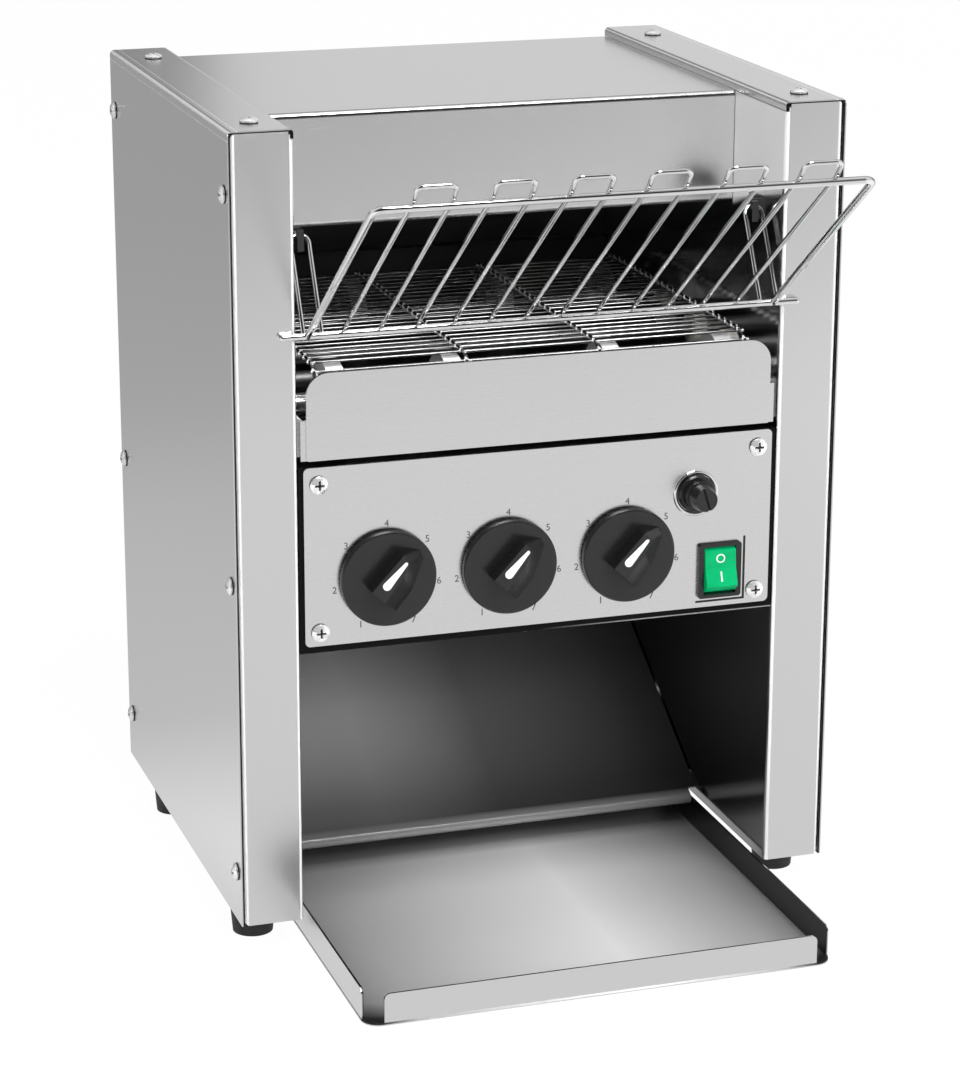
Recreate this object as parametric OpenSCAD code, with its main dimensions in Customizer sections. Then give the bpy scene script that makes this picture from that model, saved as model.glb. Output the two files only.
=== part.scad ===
// Conveyor toaster: bread goes in over the loading rack, rides on the wire belt
// between the heating elements, drops at the back and slides down to the tray.
// Lengths are in millimetres. Inside the modules, y = 0 is the front face of the
// pillars and z = 0 is the underside of the body; place() stands it on its feet.

/* [Body] */
// Width over the two side covers
body_w = 290; // [280:1:320]
// Depth of the side covers
body_d = 238; // [232:1:270]
// Height of the body above its feet
body_h = 370; // [366:1:410]
// Width of each front pillar
pillar_w = 29.6; // [28.6:0.2:34]
// Thickness of the frame and cover sheets
sheet = 1.2; // [1:0.1:1.5]
// Outer radius of the sheet bends
bend_r = 2.3; // [1.8:0.1:3]
// Open seam between neighbouring sheets
seam = 0.4; // [0.2:0.1:0.6]
// Depth of the turned-down inner edge of the top strips
hem_drop = 4.4; // [3.6:0.1:6]
// Width of the frame's return flanges behind the side covers
return_w = 14; // [13:0.5:18]

/* [Header] */
// Distance of the header fascia behind the pillars
header_y = 60.7; // [50:0.5:64]
// Height of the header fascia
header_h = 52.6; // [46:0.2:56]
// Depth of the header's lower lip
header_lip = 12; // [8:1:16]

/* [Feet] */
// Height of the feet
foot_h = 15; // [12:0.5:20]
// Diameter of a foot at the body
foot_d = 21.5; // [16:0.5:22]
// Diameter of a foot at the table
foot_base_d = 19; // [14:0.5:19]
// Distance of the front feet behind the pillars
foot_front_y = 30; // [20:1:40]
// Distance of the rear feet behind the pillars
foot_rear_y = 190; // [150:1:200]

/* [Belt] */
// Room between the wire belt and each inner wall
belt_side_gap = 8.9; // [7.9:0.1:12.9]
// Distance between neighbouring belt wires
belt_pitch = 5.6; // [5.5:0.1:5.8]
// Number of belt wires round the loop
belt_wires = 80; // [78:1:80]
// Thickness of a belt wire
belt_wire = 1.8; // [1.4:0.1:2]
// Radius of the belt's bends, to the middle of its wires
loop_r = 20; // [18:0.5:20.5]
// Height of the upper run above the body's underside
belt_z = 260.5; // [258:0.5:262]
// Distance of the front shaft behind the pillars
front_shaft_y = 23.5; // [22.5:0.5:26]
// Diameter of the belt shafts
shaft_d = 10; // [8:0.5:12]
// Width of a belt wheel
wheel_w = 8; // [5:0.5:10]
// Distance of the outer belt wheels from the belt's edges
wheel_inset = 12.9; // [12.5:0.1:21]
// Distance of the inner belt wheels from the middle
wheel_inner_x = 38.3; // [37.2:0.1:50]
// Distance of the inner link columns from the middle
link_inner_x = 32; // [20:0.5:32]
// Outer diameter of a shaft bush
bush_d = 15; // [13:0.5:17]

/* [Drive] */
// Pitch of the drive chain
chain_pitch = 6.35; // [6:0.05:6.5]
// Teeth of the motor sprocket
motor_teeth = 11; // [10:1:12]
// Teeth of the shaft sprocket
shaft_teeth = 18; // [16:1:19]
// Links of the chain
chain_links = 60; // [58:1:61]
// Fall of the chain from the drive shaft to the motor, in degrees
chain_fall = 27; // [25:1:29]
// Diameter of the chain's rollers
roller_d = 3.3; // [3:0.1:3.5]
// Distance of the sprockets' middle plane from the body's right side
chain_inset = 9.2; // [8.6:0.1:10.5]
// Diameter of the gearmotor's gearbox
gearbox_d = 37; // [32:1:37]
// Diameter of the motor shaft
motor_shaft_d = 6; // [5:0.5:7]

/* [Heating] */
// Diameter of a heating element
element_d = 8; // [6:0.5:9]
// Number of upper heating elements
upper_count = 3; // [2:1:4]
// Number of lower heating elements
lower_count = 3; // [2:1:3]
// Drop of the upper elements below the roof
upper_drop = 34.6; // [31.6:0.5:39.6]
// Distance between neighbouring elements
element_pitch = 42; // [36:1:42]
// Outer diameter of the ceramic bushes
ceramic_d = 13; // [11:0.5:14]

/* [Control panel] */
// Seam between the control panel and each pillar
panel_gap = 2.4; // [1.4:0.1:7.4]
// Width of panel that the sideways places on it are given for
panel_plain_w = 226; // [220:1:232]
// Height of the control panel's lower edge
panel_z = 132.9; // [128:0.1:136]
// Height of the control panel
panel_h = 84.1; // [78:0.1:86]
// Depth of the control housing
housing_d = 80; // [79:1:90]
// Depth of the housing edge that shows under the panel
housing_edge = 3.4; // [2:0.1:5]
// Height of the knob centres
knob_z = 163; // [161:0.5:168]
// Sideways place of the first knob
knob_first_x = -74.4; // [-80:0.2:-72]
// Distance between neighbouring knobs
knob_pitch = 58; // [54:0.5:59]
// Diameter of a knob
knob_d = 45; // [38:0.5:46]
// Distance that a knob stands out from the panel
knob_h = 13.3; // [11.5:0.1:13.4]
// Rest angle of the knobs, clockwise from straight up
knob_rest = 43; // [-140:1:140]
// Diameter of the control spindles
spindle_d = 6; // [5:0.5:6.5]

/* [Switch and thermostat] */
// Sideways place of the rocker switch
switch_x = 87.8; // [86:0.2:89]
// Height of the rocker switch's middle
switch_z = 150.8; // [149:0.2:154]
// Width of the switch bezel
switch_w = 21.4; // [19:0.2:22]
// Height of the switch bezel
switch_h = 26.6; // [25:0.2:27]
// Full swing of the rocker, in degrees
rocker_swing = 24; // [16:1:26]
// Sideways place of the safety thermostat
thermo_x = 75.4; // [72:0.2:80]
// Height of the safety thermostat
thermo_z = 189.2; // [186:0.2:194]
// Diameter of the thermostat's collar
collar_d = 18; // [16:0.5:20]
// Length of the thermostat's cap
cap_l = 11; // [8:0.5:13]

/* [Guard] */
// Gap between the front guard and each pillar
guard_side_gap = 4.1; // [3.4:0.1:10.4]
// Height of the front guard
guard_h = 40.1; // [34:0.1:41]
// Gap between the control panel and the guard
guard_gap = 3.1; // [2:0.1:5]
// Radius of the guard's upper corners
guard_r = 10.5; // [4:0.5:14]

/* [Loading rack] */
// Room between the rack's side bars, at their middle, and the inner walls
rack_side_gap = 4.8; // [4.4:0.1:12]
// Diameter of the frame rods
rack_rod = 3.4; // [3:0.1:4]
// Diameter of the inner wires
rack_wire = 2.2; // [1.8:0.1:2.6]
// Number of inner wires
rack_wires = 12; // [8:2:14]
// Length of the lower rod that reaches over each pillar
rack_reach_x = 6.6; // [3.6:0.1:12.6]
// Height of the lower rod above the body's underside
rack_z = 278; // [275:0.5:280]
// Reach of the rack in front of its lower rod
rack_reach = 104.3; // [90:0.5:110]
// Rise of the rack above its lower rod
rack_rise = 76.5; // [60:0.5:80]
// Length of the end loops past the upper rod
rack_loop = 9.6; // [6:0.2:12]
// Distance between the two legs of a side hook
leg_gap = 8.3; // [7.4:0.1:9]
// Distance of the inner leg inwards from the rack's side bars
leg_inset = 6.4; // [5.8:0.1:10.6]
// Height of the side hooks above the lower rod
leg_rise = 40.7; // [36:0.1:44]
// Reach of the side hooks behind the lower rod
leg_back = 22.2; // [18:0.1:24]

/* [Chute and tray] */
// Distance of the chute's lip behind the pillars
chute_lip_y = 84.7; // [80:0.1:90]
// Slope of the chute, in degrees
chute_slope = 31; // [28:0.5:33]
// Radius of the bend at the back of the chute
chute_r = 30; // [20:1:40]
// Thickness of the chute and tray sheets
tray_sheet = 1; // [0.8:0.1:1.2]
// Room between the inner faces of the tray's sides and the inner walls
tray_side_gap = 4.1; // [2.4:0.1:10.4]
// Height of the tray's sides
tray_h = 15.7; // [12:0.1:15.8]
// Distance that the tray's front lip stands out from the pillars
tray_out = 91; // [60:1:110]
// Depth of the tray
tray_d = 221; // [190:1:225]
// Distance of the front lip's ends inwards from the tray's sides
tray_lip_inset = 7.6; // [6.4:0.1:16]

/* [Hidden] */

$fn = 40;
STEEL = [0.80, 0.80, 0.81];
DARK_STEEL = [0.45, 0.45, 0.46];
BLACK = [0.07, 0.07, 0.07];
WHITE = [0.93, 0.93, 0.92];
CERAMIC = [0.90, 0.88, 0.82];
GREEN = [0.05, 0.55, 0.22];

mouth_half = body_w / 2 - pillar_w;
frame_w = pillar_w - sheet - seam;
frame_out = mouth_half + frame_w;
web_h = body_h - hem_drop - seam;
header_top = body_h - hem_drop;
upper_z = header_top - upper_drop;
fold_gap = 0.2;
overcut = 1;

// Fastener places shared by the frames, the covers and the screws
screw_d = 4;
screw_room = 0.1;
head_d = 8.3;
head_h = 2.6;
side_screw_y = [8, body_d - 8.5];
side_screw_z = [24.5, 163, body_h - 28.5];
top_screw_x = body_w / 2 - 15;
top_screw_y = [20, body_d - 31];
rear_screw_x = mouth_half + 13;
rear_screw_z = [for (i = [0 : 3]) 24 + i * (body_h - 52) / 3];
foot_x = body_w / 2 - 12.5;
foot_stud_d = 6;

// Belt loop: distance s runs from the front bend's top, over the upper run
belt_w = 2 * (mouth_half - belt_side_gap);
wheel_outer_x = belt_w / 2 - wheel_inset;
belt_r = belt_wire / 2;
belt_run = (belt_wires * belt_pitch - 2 * PI * loop_r) / 2;
half_turn = PI * loop_r;
shaft_z = belt_z - loop_r;
drive_shaft_y = front_shaft_y + belt_run;
link_wire = 1.3;
link_t = belt_wire + 0.2;
link_half = 1.4;
link_step = link_wire + 0.2;
link_edge_x = belt_w / 2 - link_half - link_step - link_wire / 2 - 0.1;
wheel_r = loop_r - link_t / 2 - 0.5;
link_columns = [-link_edge_x, -link_inner_x, link_inner_x, link_edge_x];
shaft_fit = 0.05;
bush_flange = 2;
bush_len = 9;

// Drive chain: an open loop round the two sprockets
chain_x = body_w / 2 - chain_inset;
chain_loop = chain_links * chain_pitch;
motor_pitch_r = motor_teeth * chain_pitch / (2 * PI);
shaft_pitch_r = shaft_teeth * chain_pitch / (2 * PI);
function loop_length(c) = let (a = asin((shaft_pitch_r - motor_pitch_r) / c))
    2 * c * cos(a) + PI * (shaft_pitch_r + motor_pitch_r)
    + 2 * (shaft_pitch_r - motor_pitch_r) * a * PI / 180;
function centre_distance(c, steps) = steps == 0 ? c
    : centre_distance(c + (chain_loop - loop_length(c)) / 2, steps - 1);
chain_c = centre_distance(chain_loop / 3, 8);
chain_lean = asin((shaft_pitch_r - motor_pitch_r) / chain_c);
chain_side = chain_c * cos(chain_lean);
motor_y = drive_shaft_y - chain_c * cos(chain_fall);
motor_z = shaft_z - chain_c * sin(chain_fall);
sprocket_t = 2.8;
plate_t = 0.9;
chain_in = sprocket_t + 0.4;

// Heating elements
lower_z = shaft_z + 1;
upper_mid_y = 140;
lower_mid_y = (front_shaft_y + drive_shaft_y) / 2;
element_fit = 0.1;
pin_d = 3;

// Control panel and housing
panel_w = 2 * (mouth_half - panel_gap);
panel_share = panel_w / panel_plain_w;
housing_sheet = 1;
housing_half = mouth_half - fold_gap;
housing_z = panel_z - housing_edge;
housing_top = panel_z + panel_h;
housing_flange = 14;
knob_x = [for (i = [0 : 2]) (knob_first_x + i * knob_pitch) * panel_share];
panel_screw_x = panel_w / 2 - 7;
panel_screw_z = [panel_z + 6.5, housing_top - 8];
panel_r = 2.4;
spindle_room = 0.5;
knob_gap = 0.8;
guard_w = 2 * (mouth_half - guard_side_gap);
housing_screw_x = [-99.5, -6, 92.5] * panel_share;

// Rocker switch and thermostat
switch_mid_x = switch_x * panel_share;
thermo_mid_x = thermo_x * panel_share;
rocker_y = 3.5;
rocker_r = switch_h / 2 - 2;
rocker_w = switch_w - 6;
rocker_gap = 0.3;
bezel_t = 1.8;
switch_body_w = switch_w - 3;
switch_body_h = switch_h - 1.4;
switch_depth = 22;
collar_t = 2.6;
collar_bevel = 0.8;
neck_d = 10;
reset_d = 4;
reset_travel = 2;

// Loading rack
rack_half = mouth_half - rack_side_gap;
rack_base_l = 2 * (mouth_half + rack_reach_x);
leg_x = rack_half - leg_inset;
rack_y = -rack_rod / 2 - 0.4;
rack_l = norm([rack_reach, rack_rise]);
rack_tilt = atan2(rack_rise, rack_reach);
wire_step = 2 * rack_half / (rack_wires + 1);
wire_lift = (rack_rod + rack_wire) / 2 - 0.3;
loop_kick = 14;
corner_r = 5;
loop_r2 = 3;
leg_l = norm([leg_back, leg_rise]) - leg_gap / 2;
leg_tilt = atan2(leg_rise, leg_back);
hook_x = leg_x + leg_gap / 2;
hook_t = 3;
hook_bar_y = rack_y + leg_back;
hook_bar_z = rack_z + leg_rise;
hook_room = 0.6;
hook_tip = 2.4;
hook_rise = 4.5;

// Chute and tray
tray_half = mouth_half - tray_side_gap;
tray_w = 2 * tray_half;
tray_lip_w = tray_w - 2 * tray_lip_inset;
tray_lift = 0.3;
tray_z = tray_lift - foot_h;
tray_top = tray_z + tray_h;
tray_corner = 8;
base_z = tray_top + 0.3;
chute_half = mouth_half - 0.8;
lip_half = tray_half - 0.7;
chute_z = base_z + 2.2;
chute_wall_y = body_d - 7;
chute_bend_y = chute_wall_y - chute_r * (1 - sin(chute_slope));
chute_bend_z = chute_z + (chute_bend_y - chute_lip_y) * tan(chute_slope);
chute_mid_z = chute_bend_z + chute_r * cos(chute_slope);
chute_top = 262;
lip_r = 3;

// Overall plan, for the place of the origin
loop_front = rack_reach + rack_loop * cos(rack_tilt + loop_kick) - rack_y + rack_wire / 2
    - wire_lift * sin(rack_tilt);
rear_face = body_d + sheet;
gland_out = 14;
plan_mid_y = (rear_face + gland_out - loop_front) / 2;

// ---- shared shapes ----

module place() translate([0, -plan_mid_y, foot_h]) children();
module both_sides() {
    children();
    mirror([1, 0, 0]) children();
}
// A flat outline in y and z, drawn out along x
module across(w, mid = 0)
    translate([mid - w / 2, 0, 0]) rotate([90, 0, 90]) linear_extrude(w) children();
// A flat outline in x and z, drawn out backwards from y
module inwards(y, d)
    translate([0, y + d, 0]) rotate([90, 0, 0]) linear_extrude(d) children();
module rod_x(d, x0, x1)
    translate([x0, 0, 0]) rotate([0, 90, 0]) cylinder(d = d, h = x1 - x0);
module rod_y(d, y0, y1)
    translate([0, y0, 0]) rotate([-90, 0, 0]) cylinder(d = d, h = y1 - y0);
module round_rect(w, h, r) {
    translate([r, 0]) square([w - 2 * r, h]);
    translate([0, r]) square([w, h - 2 * r]);
    for (x = [r, w - r], y = [r, h - r]) translate([x, y]) circle(r);
}
module bent_ring(w, h, r, t) difference() {
    round_rect(w, h, r);
    translate([t, t]) round_rect(w - 2 * t, h - 2 * t, r - t);
}
// Pan head with a straight rim, a low dome and a cross recess
module pan_screw(d, h, shank, l) {
    rim = h * 0.45;
    dome = h - rim;
    ball = (dome * dome + d * d / 4) / (2 * dome);
    difference() {
        rotate_extrude() {
            square([d / 2, rim]);
            translate([0, rim]) intersection() {
                translate([0, dome - ball]) circle(ball);
                square([d / 2, dome]);
            }
        }
        for (a = [0, 90]) rotate([0, 0, a])
            translate([-d * 0.27, -d * 0.065, h * 0.3]) cube([d * 0.54, d * 0.13, h]);
    }
    translate([0, 0, -l]) cylinder(d = shank, h = l + h * 0.2);
}
// Outline of one knob's pointer: a drop from the middle to the grip's end
module drop(l, r1, r2) {
    circle(r1);
    translate([0, l]) circle(r2);
    polygon([[-r1, 0], [r1, 0], [r2, l], [-r2, l]]);
}

// ---- body ----

module frame_holes(drive) {
    for (y = [front_shaft_y, drive_shaft_y]) translate([0, y, shaft_z])
        rod_x(bush_d + 2 * shaft_fit, mouth_half - overcut, mouth_half + sheet + overcut);
    for (i = [0 : upper_count - 1]) translate([0, element_y(i, upper_count, upper_mid_y), upper_z])
        rod_x(ceramic_d + 2 * element_fit, mouth_half - overcut, mouth_half + 2 * sheet);
    for (i = [0 : lower_count - 1]) translate([0, element_y(i, lower_count, lower_mid_y), lower_z])
        rod_x(ceramic_d + 2 * element_fit, mouth_half - overcut, mouth_half + 2 * sheet);
    for (y = side_screw_y, z = side_screw_z) translate([0, y, z])
        rod_x(screw_d + 2 * screw_room, frame_out - 2 * sheet, frame_out + overcut);
    for (y = top_screw_y) translate([top_screw_x, y, body_h - 3 * sheet])
        cylinder(d = screw_d + 2 * screw_room, h = 3 * sheet);
    for (z = rear_screw_z) translate([rear_screw_x, 0, z])
        rod_y(screw_d + 2 * screw_room, body_d - 2 * sheet, body_d + overcut);
    for (y = [foot_front_y, foot_rear_y]) translate([foot_x, y, -overcut])
        cylinder(d = foot_stud_d + 2 * screw_room, h = 3 * sheet);
    if (drive) translate([0, motor_y, motor_z])
        rod_x(motor_shaft_d + 6, mouth_half - overcut, mouth_half + sheet + overcut);
}
function element_y(i, count, mid) = mid + (i - (count - 1) / 2) * element_pitch;

// Inner wall, pillar face, rear flange and the returns behind the cover, one sheet
module side_frame(drive) difference() {
    intersection() {
        union() {
            linear_extrude(body_h - sheet) translate([mouth_half, 0]) difference() {
                bent_ring(frame_w, body_d, bend_r, sheet);
                translate([frame_w - 2 * sheet, return_w])
                    square([3 * sheet, body_d - 2 * return_w]);
            }
            for (z = [0, body_h - 2 * sheet]) translate([mouth_half + sheet / 2, sheet / 2, z])
                cube([frame_w - 1.5 * sheet - fold_gap, body_d - sheet, sheet]);
        }
        inwards(-overcut, body_d + 2 * overcut)
            round_rect(frame_out, body_h - sheet, bend_r);
    }
    translate([mouth_half - overcut, -overcut, web_h])
        cube([sheet + seam + overcut, body_d + 2 * overcut, body_h]);
    translate([mouth_half - overcut, -overcut, body_h - max(bend_r, 2 * sheet + fold_gap)])
        cube([bend_r + overcut, body_d + 2 * overcut, body_h]);
    frame_holes(drive);
}
module side_frame_left() color(STEEL) place() mirror([1, 0, 0]) side_frame(false);
module side_frame_right() color(STEEL) place() side_frame(true);

// Outer panel, top strip and its turned-down inner edge, one sheet
module side_cover() difference() {
    inwards(0, body_d) difference() {
        translate([mouth_half, -bend_r - overcut])
            bent_ring(pillar_w, body_h + bend_r + overcut, bend_r, sheet);
        translate([mouth_half - overcut, -bend_r - 2 * overcut])
            square([pillar_w + 2 * overcut, bend_r + 2 * overcut]);
        translate([mouth_half - overcut, -overcut])
            square([pillar_w - sheet, body_h - hem_drop + overcut]);
    }
    for (y = side_screw_y, z = side_screw_z) translate([0, y, z])
        rod_x(screw_d + 2 * screw_room, frame_out, body_w / 2 + overcut);
    for (y = top_screw_y) translate([top_screw_x, y, body_h - 2 * sheet])
        cylinder(d = screw_d + 2 * screw_room, h = 3 * sheet);
}
module side_cover_left() color(STEEL) place() mirror([1, 0, 0]) side_cover();
module side_cover_right() color(STEEL) place() side_cover();

// Roof and header fascia, one sheet with a lower lip and a rear flange
module top_cover() color(STEEL) place() {
    cover_d = body_d - header_y;
    across(2 * (mouth_half - fold_gap)) translate([header_y, header_top - header_h]) difference() {
        bent_ring(cover_d, header_h, bend_r, sheet);
        translate([header_lip, -overcut]) square([cover_d, sheet + 2 * overcut]);
        translate([cover_d - 2 * sheet, -overcut]) square([3 * sheet, header_h - 12]);
    }
    both_sides() translate([mouth_half - fold_gap - sheet, header_y + 20, header_top - 14])
        cube([sheet, cover_d - 40, 14 - sheet / 2]);
}

// One pressed louvre: a slot under a half-round hood
louvre_w = 46;
louvre_r = 4;
louvre_x = [-76, -25.3, 25.3, 76];
louvre_z = [150, 164, 178, 192, 206, body_h - 70, body_h - 56, body_h - 42];
module louvre_hood() intersection() {
    difference() {
        translate([0, 0, -louvre_r]) union() {
            rod_x(2 * louvre_r, -louvre_w / 2 + louvre_r, louvre_w / 2 - louvre_r);
            for (x = [-1, 1]) translate([x * (louvre_w / 2 - louvre_r), 0, 0]) sphere(louvre_r);
        }
        translate([0, 0, -louvre_r]) union() {
            rod_x(2 * louvre_r - 1.6, -louvre_w / 2 + louvre_r, louvre_w / 2 - louvre_r);
            for (x = [-1, 1]) translate([x * (louvre_w / 2 - louvre_r), 0, 0])
                sphere(louvre_r - 0.8);
        }
    }
    translate([-louvre_w / 2, 0, -louvre_r]) cube([louvre_w, louvre_r, louvre_r]);
}
gland_x = -88;
gland_z = 38;
gland_d = 16;
module rear_panel() color(STEEL) place() {
    panel_half = frame_out - 2.4;
    difference() {
        inwards(body_d, sheet) translate([-panel_half, 4])
            round_rect(2 * panel_half, header_top - 8, bend_r);
        for (x = louvre_x, z = louvre_z) translate([x - louvre_w / 2 + 2, body_d - overcut, z - louvre_r])
            cube([louvre_w - 4, 3 * sheet, louvre_r - 0.4]);
        both_sides() for (z = rear_screw_z) translate([rear_screw_x, 0, z])
            rod_y(screw_d + 2 * screw_room, body_d - overcut, rear_face + overcut);
        translate([gland_x, 0, gland_z]) rod_y(gland_d, body_d - overcut, rear_face + overcut);
    }
    for (x = louvre_x, z = louvre_z) translate([x, rear_face - 0.1, z]) louvre_hood();
}

module base_plate() color(STEEL) place() {
    plate_y = chute_lip_y + 34;
    plate_half = mouth_half - fold_gap;
    plate_d = body_d - plate_y;
    inwards(plate_y, plate_d) difference() {
        translate([-plate_half, base_z]) bent_ring(2 * plate_half, 26, bend_r, sheet);
        translate([-plate_half - overcut, base_z + 12]) square([2 * plate_half + 2, 20]);
    }
}

// Rolled lip, straight slide, bend and back wall, one sheet
module toast_chute() color(STEEL) place() {
    slide_l = (chute_bend_y - chute_lip_y) / cos(chute_slope);
    core = 0.4 * tray_sheet;
    across(2 * chute_half) {
        translate([chute_lip_y, chute_z]) rotate(chute_slope)
            translate([lip_r + 1, -tray_sheet]) square([slide_l - lip_r - 1, tray_sheet]);
        translate([chute_wall_y - chute_r, chute_mid_z]) difference() {
            circle(chute_r + tray_sheet);
            circle(chute_r);
            rotate(chute_slope - 90) translate([-2 * chute_r, -2 * chute_r])
                square([4 * chute_r, 2 * chute_r]);
            translate([-2 * chute_r, 0]) square([4 * chute_r, 2 * chute_r]);
        }
        translate([chute_bend_y, chute_bend_z]) rotate(chute_slope)
            translate([-2, -0.7 * tray_sheet]) square([4, core]);
        translate([chute_wall_y + 0.3 * tray_sheet, chute_mid_z - 2]) square([core, 4]);
        translate([chute_wall_y, chute_mid_z]) square([tray_sheet, chute_top - chute_mid_z]);
        translate([chute_wall_y, chute_top - tray_sheet])
            square([body_d - chute_wall_y, tray_sheet]);
    }
    across(2 * lip_half) translate([chute_lip_y, chute_z]) rotate(chute_slope) {
        translate([0, -tray_sheet]) square([3 * lip_r, tray_sheet]);
        difference() {
            translate([0, -lip_r]) circle(lip_r);
            translate([0, -lip_r]) circle(lip_r - tray_sheet);
            translate([0, -3 * lip_r]) square([2 * lip_r, 3 * lip_r - tray_sheet]);
        }
    }
}

// ---- front ----

module front_guard() color(STEEL) place() {
    guard_z = housing_top + guard_gap;
    inwards(0, sheet) translate([-guard_w / 2, guard_z]) union() {
        round_rect(guard_w, guard_h - guard_r, bend_r / 2);
        translate([0, guard_h / 3]) round_rect(guard_w, guard_h * 2 / 3, min(guard_r, guard_h / 3));
    }
}
bracket_h = 18.6;
bracket_d = 11;
module guard_brackets() color(STEEL) place() both_sides() {
    translate([0, 0, housing_top + guard_gap]) linear_extrude(bracket_h) {
        translate([guard_w / 2 - 9, sheet]) square([mouth_half - guard_w / 2 + 9 - 1.6, sheet]);
        translate([mouth_half - 1.6 - sheet, sheet]) square([sheet, bracket_d]);
        translate([mouth_half - 1.6, bracket_d + sheet - 3]) square([1.6, 3]);
    }
}

module panel_cutouts() {
    for (x = knob_x) translate([x, 0, knob_z])
        rod_y(spindle_d + 2 * spindle_room + 3, -overcut, 3 * sheet);
    for (x = [-1, 1], z = panel_screw_z) translate([x * panel_screw_x, 0, z])
        rod_y(screw_d + 2 * screw_room, -overcut, 3 * sheet);
    translate([switch_mid_x - switch_body_w / 2, -overcut, switch_z - switch_body_h / 2])
        cube([switch_body_w, 3 * sheet, switch_body_h]);
    translate([thermo_mid_x, 0, thermo_z]) rod_y(neck_d + 2 * screw_room, -overcut, 3 * sheet);
}
module control_panel() color(STEEL) place() difference() {
    inwards(0, sheet) translate([-panel_w / 2, panel_z]) round_rect(panel_w, panel_h, panel_r);
    panel_cutouts();
}

module control_housing() color(DARK_STEEL) place() {
    inner_half = housing_half - housing_sheet;
    inner_h = housing_top - housing_z - 2 * housing_sheet;
    difference() {
        translate([-housing_half, sheet, housing_z])
            cube([2 * housing_half, housing_d - sheet, housing_top - housing_z]);
        translate([-inner_half, sheet + housing_sheet, housing_z + housing_sheet])
            cube([2 * inner_half, housing_d - sheet - 2 * housing_sheet, inner_h]);
        translate([-inner_half + housing_flange, 0, housing_z + housing_sheet + 3])
            cube([2 * (inner_half - housing_flange), 2 * sheet + housing_sheet, inner_h - 5]);
        for (x = [-1, 1], z = panel_screw_z) translate([x * panel_screw_x, 0, z])
            rod_y(screw_d + 2 * screw_room, 0, 3 * sheet);
        translate([0, motor_y, motor_z]) rod_x(motor_shaft_d + 6, inner_half - overcut, mouth_half);
        for (x = housing_screw_x) translate([x, 7, housing_z - overcut])
            cylinder(d = 3.2, h = 3 * sheet);
        for (x = [-60, 0, 60]) translate([x - 18, housing_d - 2 * sheet, housing_z + 60])
            cube([36, 3 * sheet, 10]);
    }
}
module housing_screws() color(STEEL) place()
    for (x = housing_screw_x) translate([x, 7, housing_z])
        rotate([180, 0, 0]) pan_screw(5.6, 2, 3, 3);

// ---- heating ----

module upper_reflector() color(STEEL) place() {
    front_y = header_y + 2 * sheet;
    depth = chute_wall_y - 4 - front_y;
    across(2 * (mouth_half - fold_gap)) translate([front_y, upper_z - 12]) difference() {
        bent_ring(depth, 28, bend_r, sheet);
        translate([-overcut, -overcut]) square([depth + 2 * overcut, 14]);
    }
}
module lower_reflector() color(STEEL) place() {
    depth = belt_run - 2 * wheel_r - 8;
    across(2 * (mouth_half - fold_gap)) translate([lower_mid_y - depth / 2, lower_z - 13]) difference() {
        bent_ring(depth, 20, bend_r, sheet);
        translate([-overcut, 8]) square([depth + 2 * overcut, 20]);
    }
}
module element(y, z) translate([0, y, z]) {
    rod_x(element_d, -mouth_half - 9, mouth_half + 9);
    rod_x(pin_d, -mouth_half - 15, mouth_half + 15);
}
module upper_elements() color(DARK_STEEL) place()
    for (i = [0 : upper_count - 1]) element(element_y(i, upper_count, upper_mid_y), upper_z);
module lower_elements() color(DARK_STEEL) place()
    for (i = [0 : lower_count - 1]) element(element_y(i, lower_count, lower_mid_y), lower_z);
module ceramic_bush(y, z) translate([0, y, z]) difference() {
    union() {
        rod_x(ceramic_d, mouth_half - 3, mouth_half + sheet + 5);
        rod_x(ceramic_d + 4, mouth_half - 3, mouth_half);
    }
    rod_x(element_d + 2 * element_fit, mouth_half - 4, mouth_half + sheet + 6);
}
module element_bushes() color(CERAMIC) place() both_sides() {
    for (i = [0 : upper_count - 1])
        ceramic_bush(element_y(i, upper_count, upper_mid_y), upper_z);
    for (i = [0 : lower_count - 1])
        ceramic_bush(element_y(i, lower_count, lower_mid_y), lower_z);
}

// ---- belt ----

// Place in y and z of the point at distance s round the loop
function on_belt(s) =
    s < belt_run ? [front_shaft_y + s, belt_z]
    : s < belt_run + half_turn ? let (a = (s - belt_run) / loop_r * 180 / PI)
        [drive_shaft_y + loop_r * sin(a), shaft_z + loop_r * cos(a)]
    : s < 2 * belt_run + half_turn ? [drive_shaft_y - (s - belt_run - half_turn), shaft_z - loop_r]
    : let (a = (s - 2 * belt_run - half_turn) / loop_r * 180 / PI)
        [front_shaft_y - loop_r * sin(a), shaft_z - loop_r * cos(a)];
function wire_s(i) = (i + 0.5) * belt_pitch;
// First wire of the rear bend, of the return run and of the front bend
rear_first = ceil(belt_run / belt_pitch - 0.5);
return_first = ceil((belt_run + half_turn) / belt_pitch - 0.5);
front_first = ceil((2 * belt_run + half_turn) / belt_pitch - 0.5);

module belt_wires_of(first, last) for (i = [first : last]) {
    p = on_belt(wire_s(i));
    translate([0, p[0], p[1]]) rod_x(belt_wire, -belt_w / 2, belt_w / 2);
}
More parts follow.
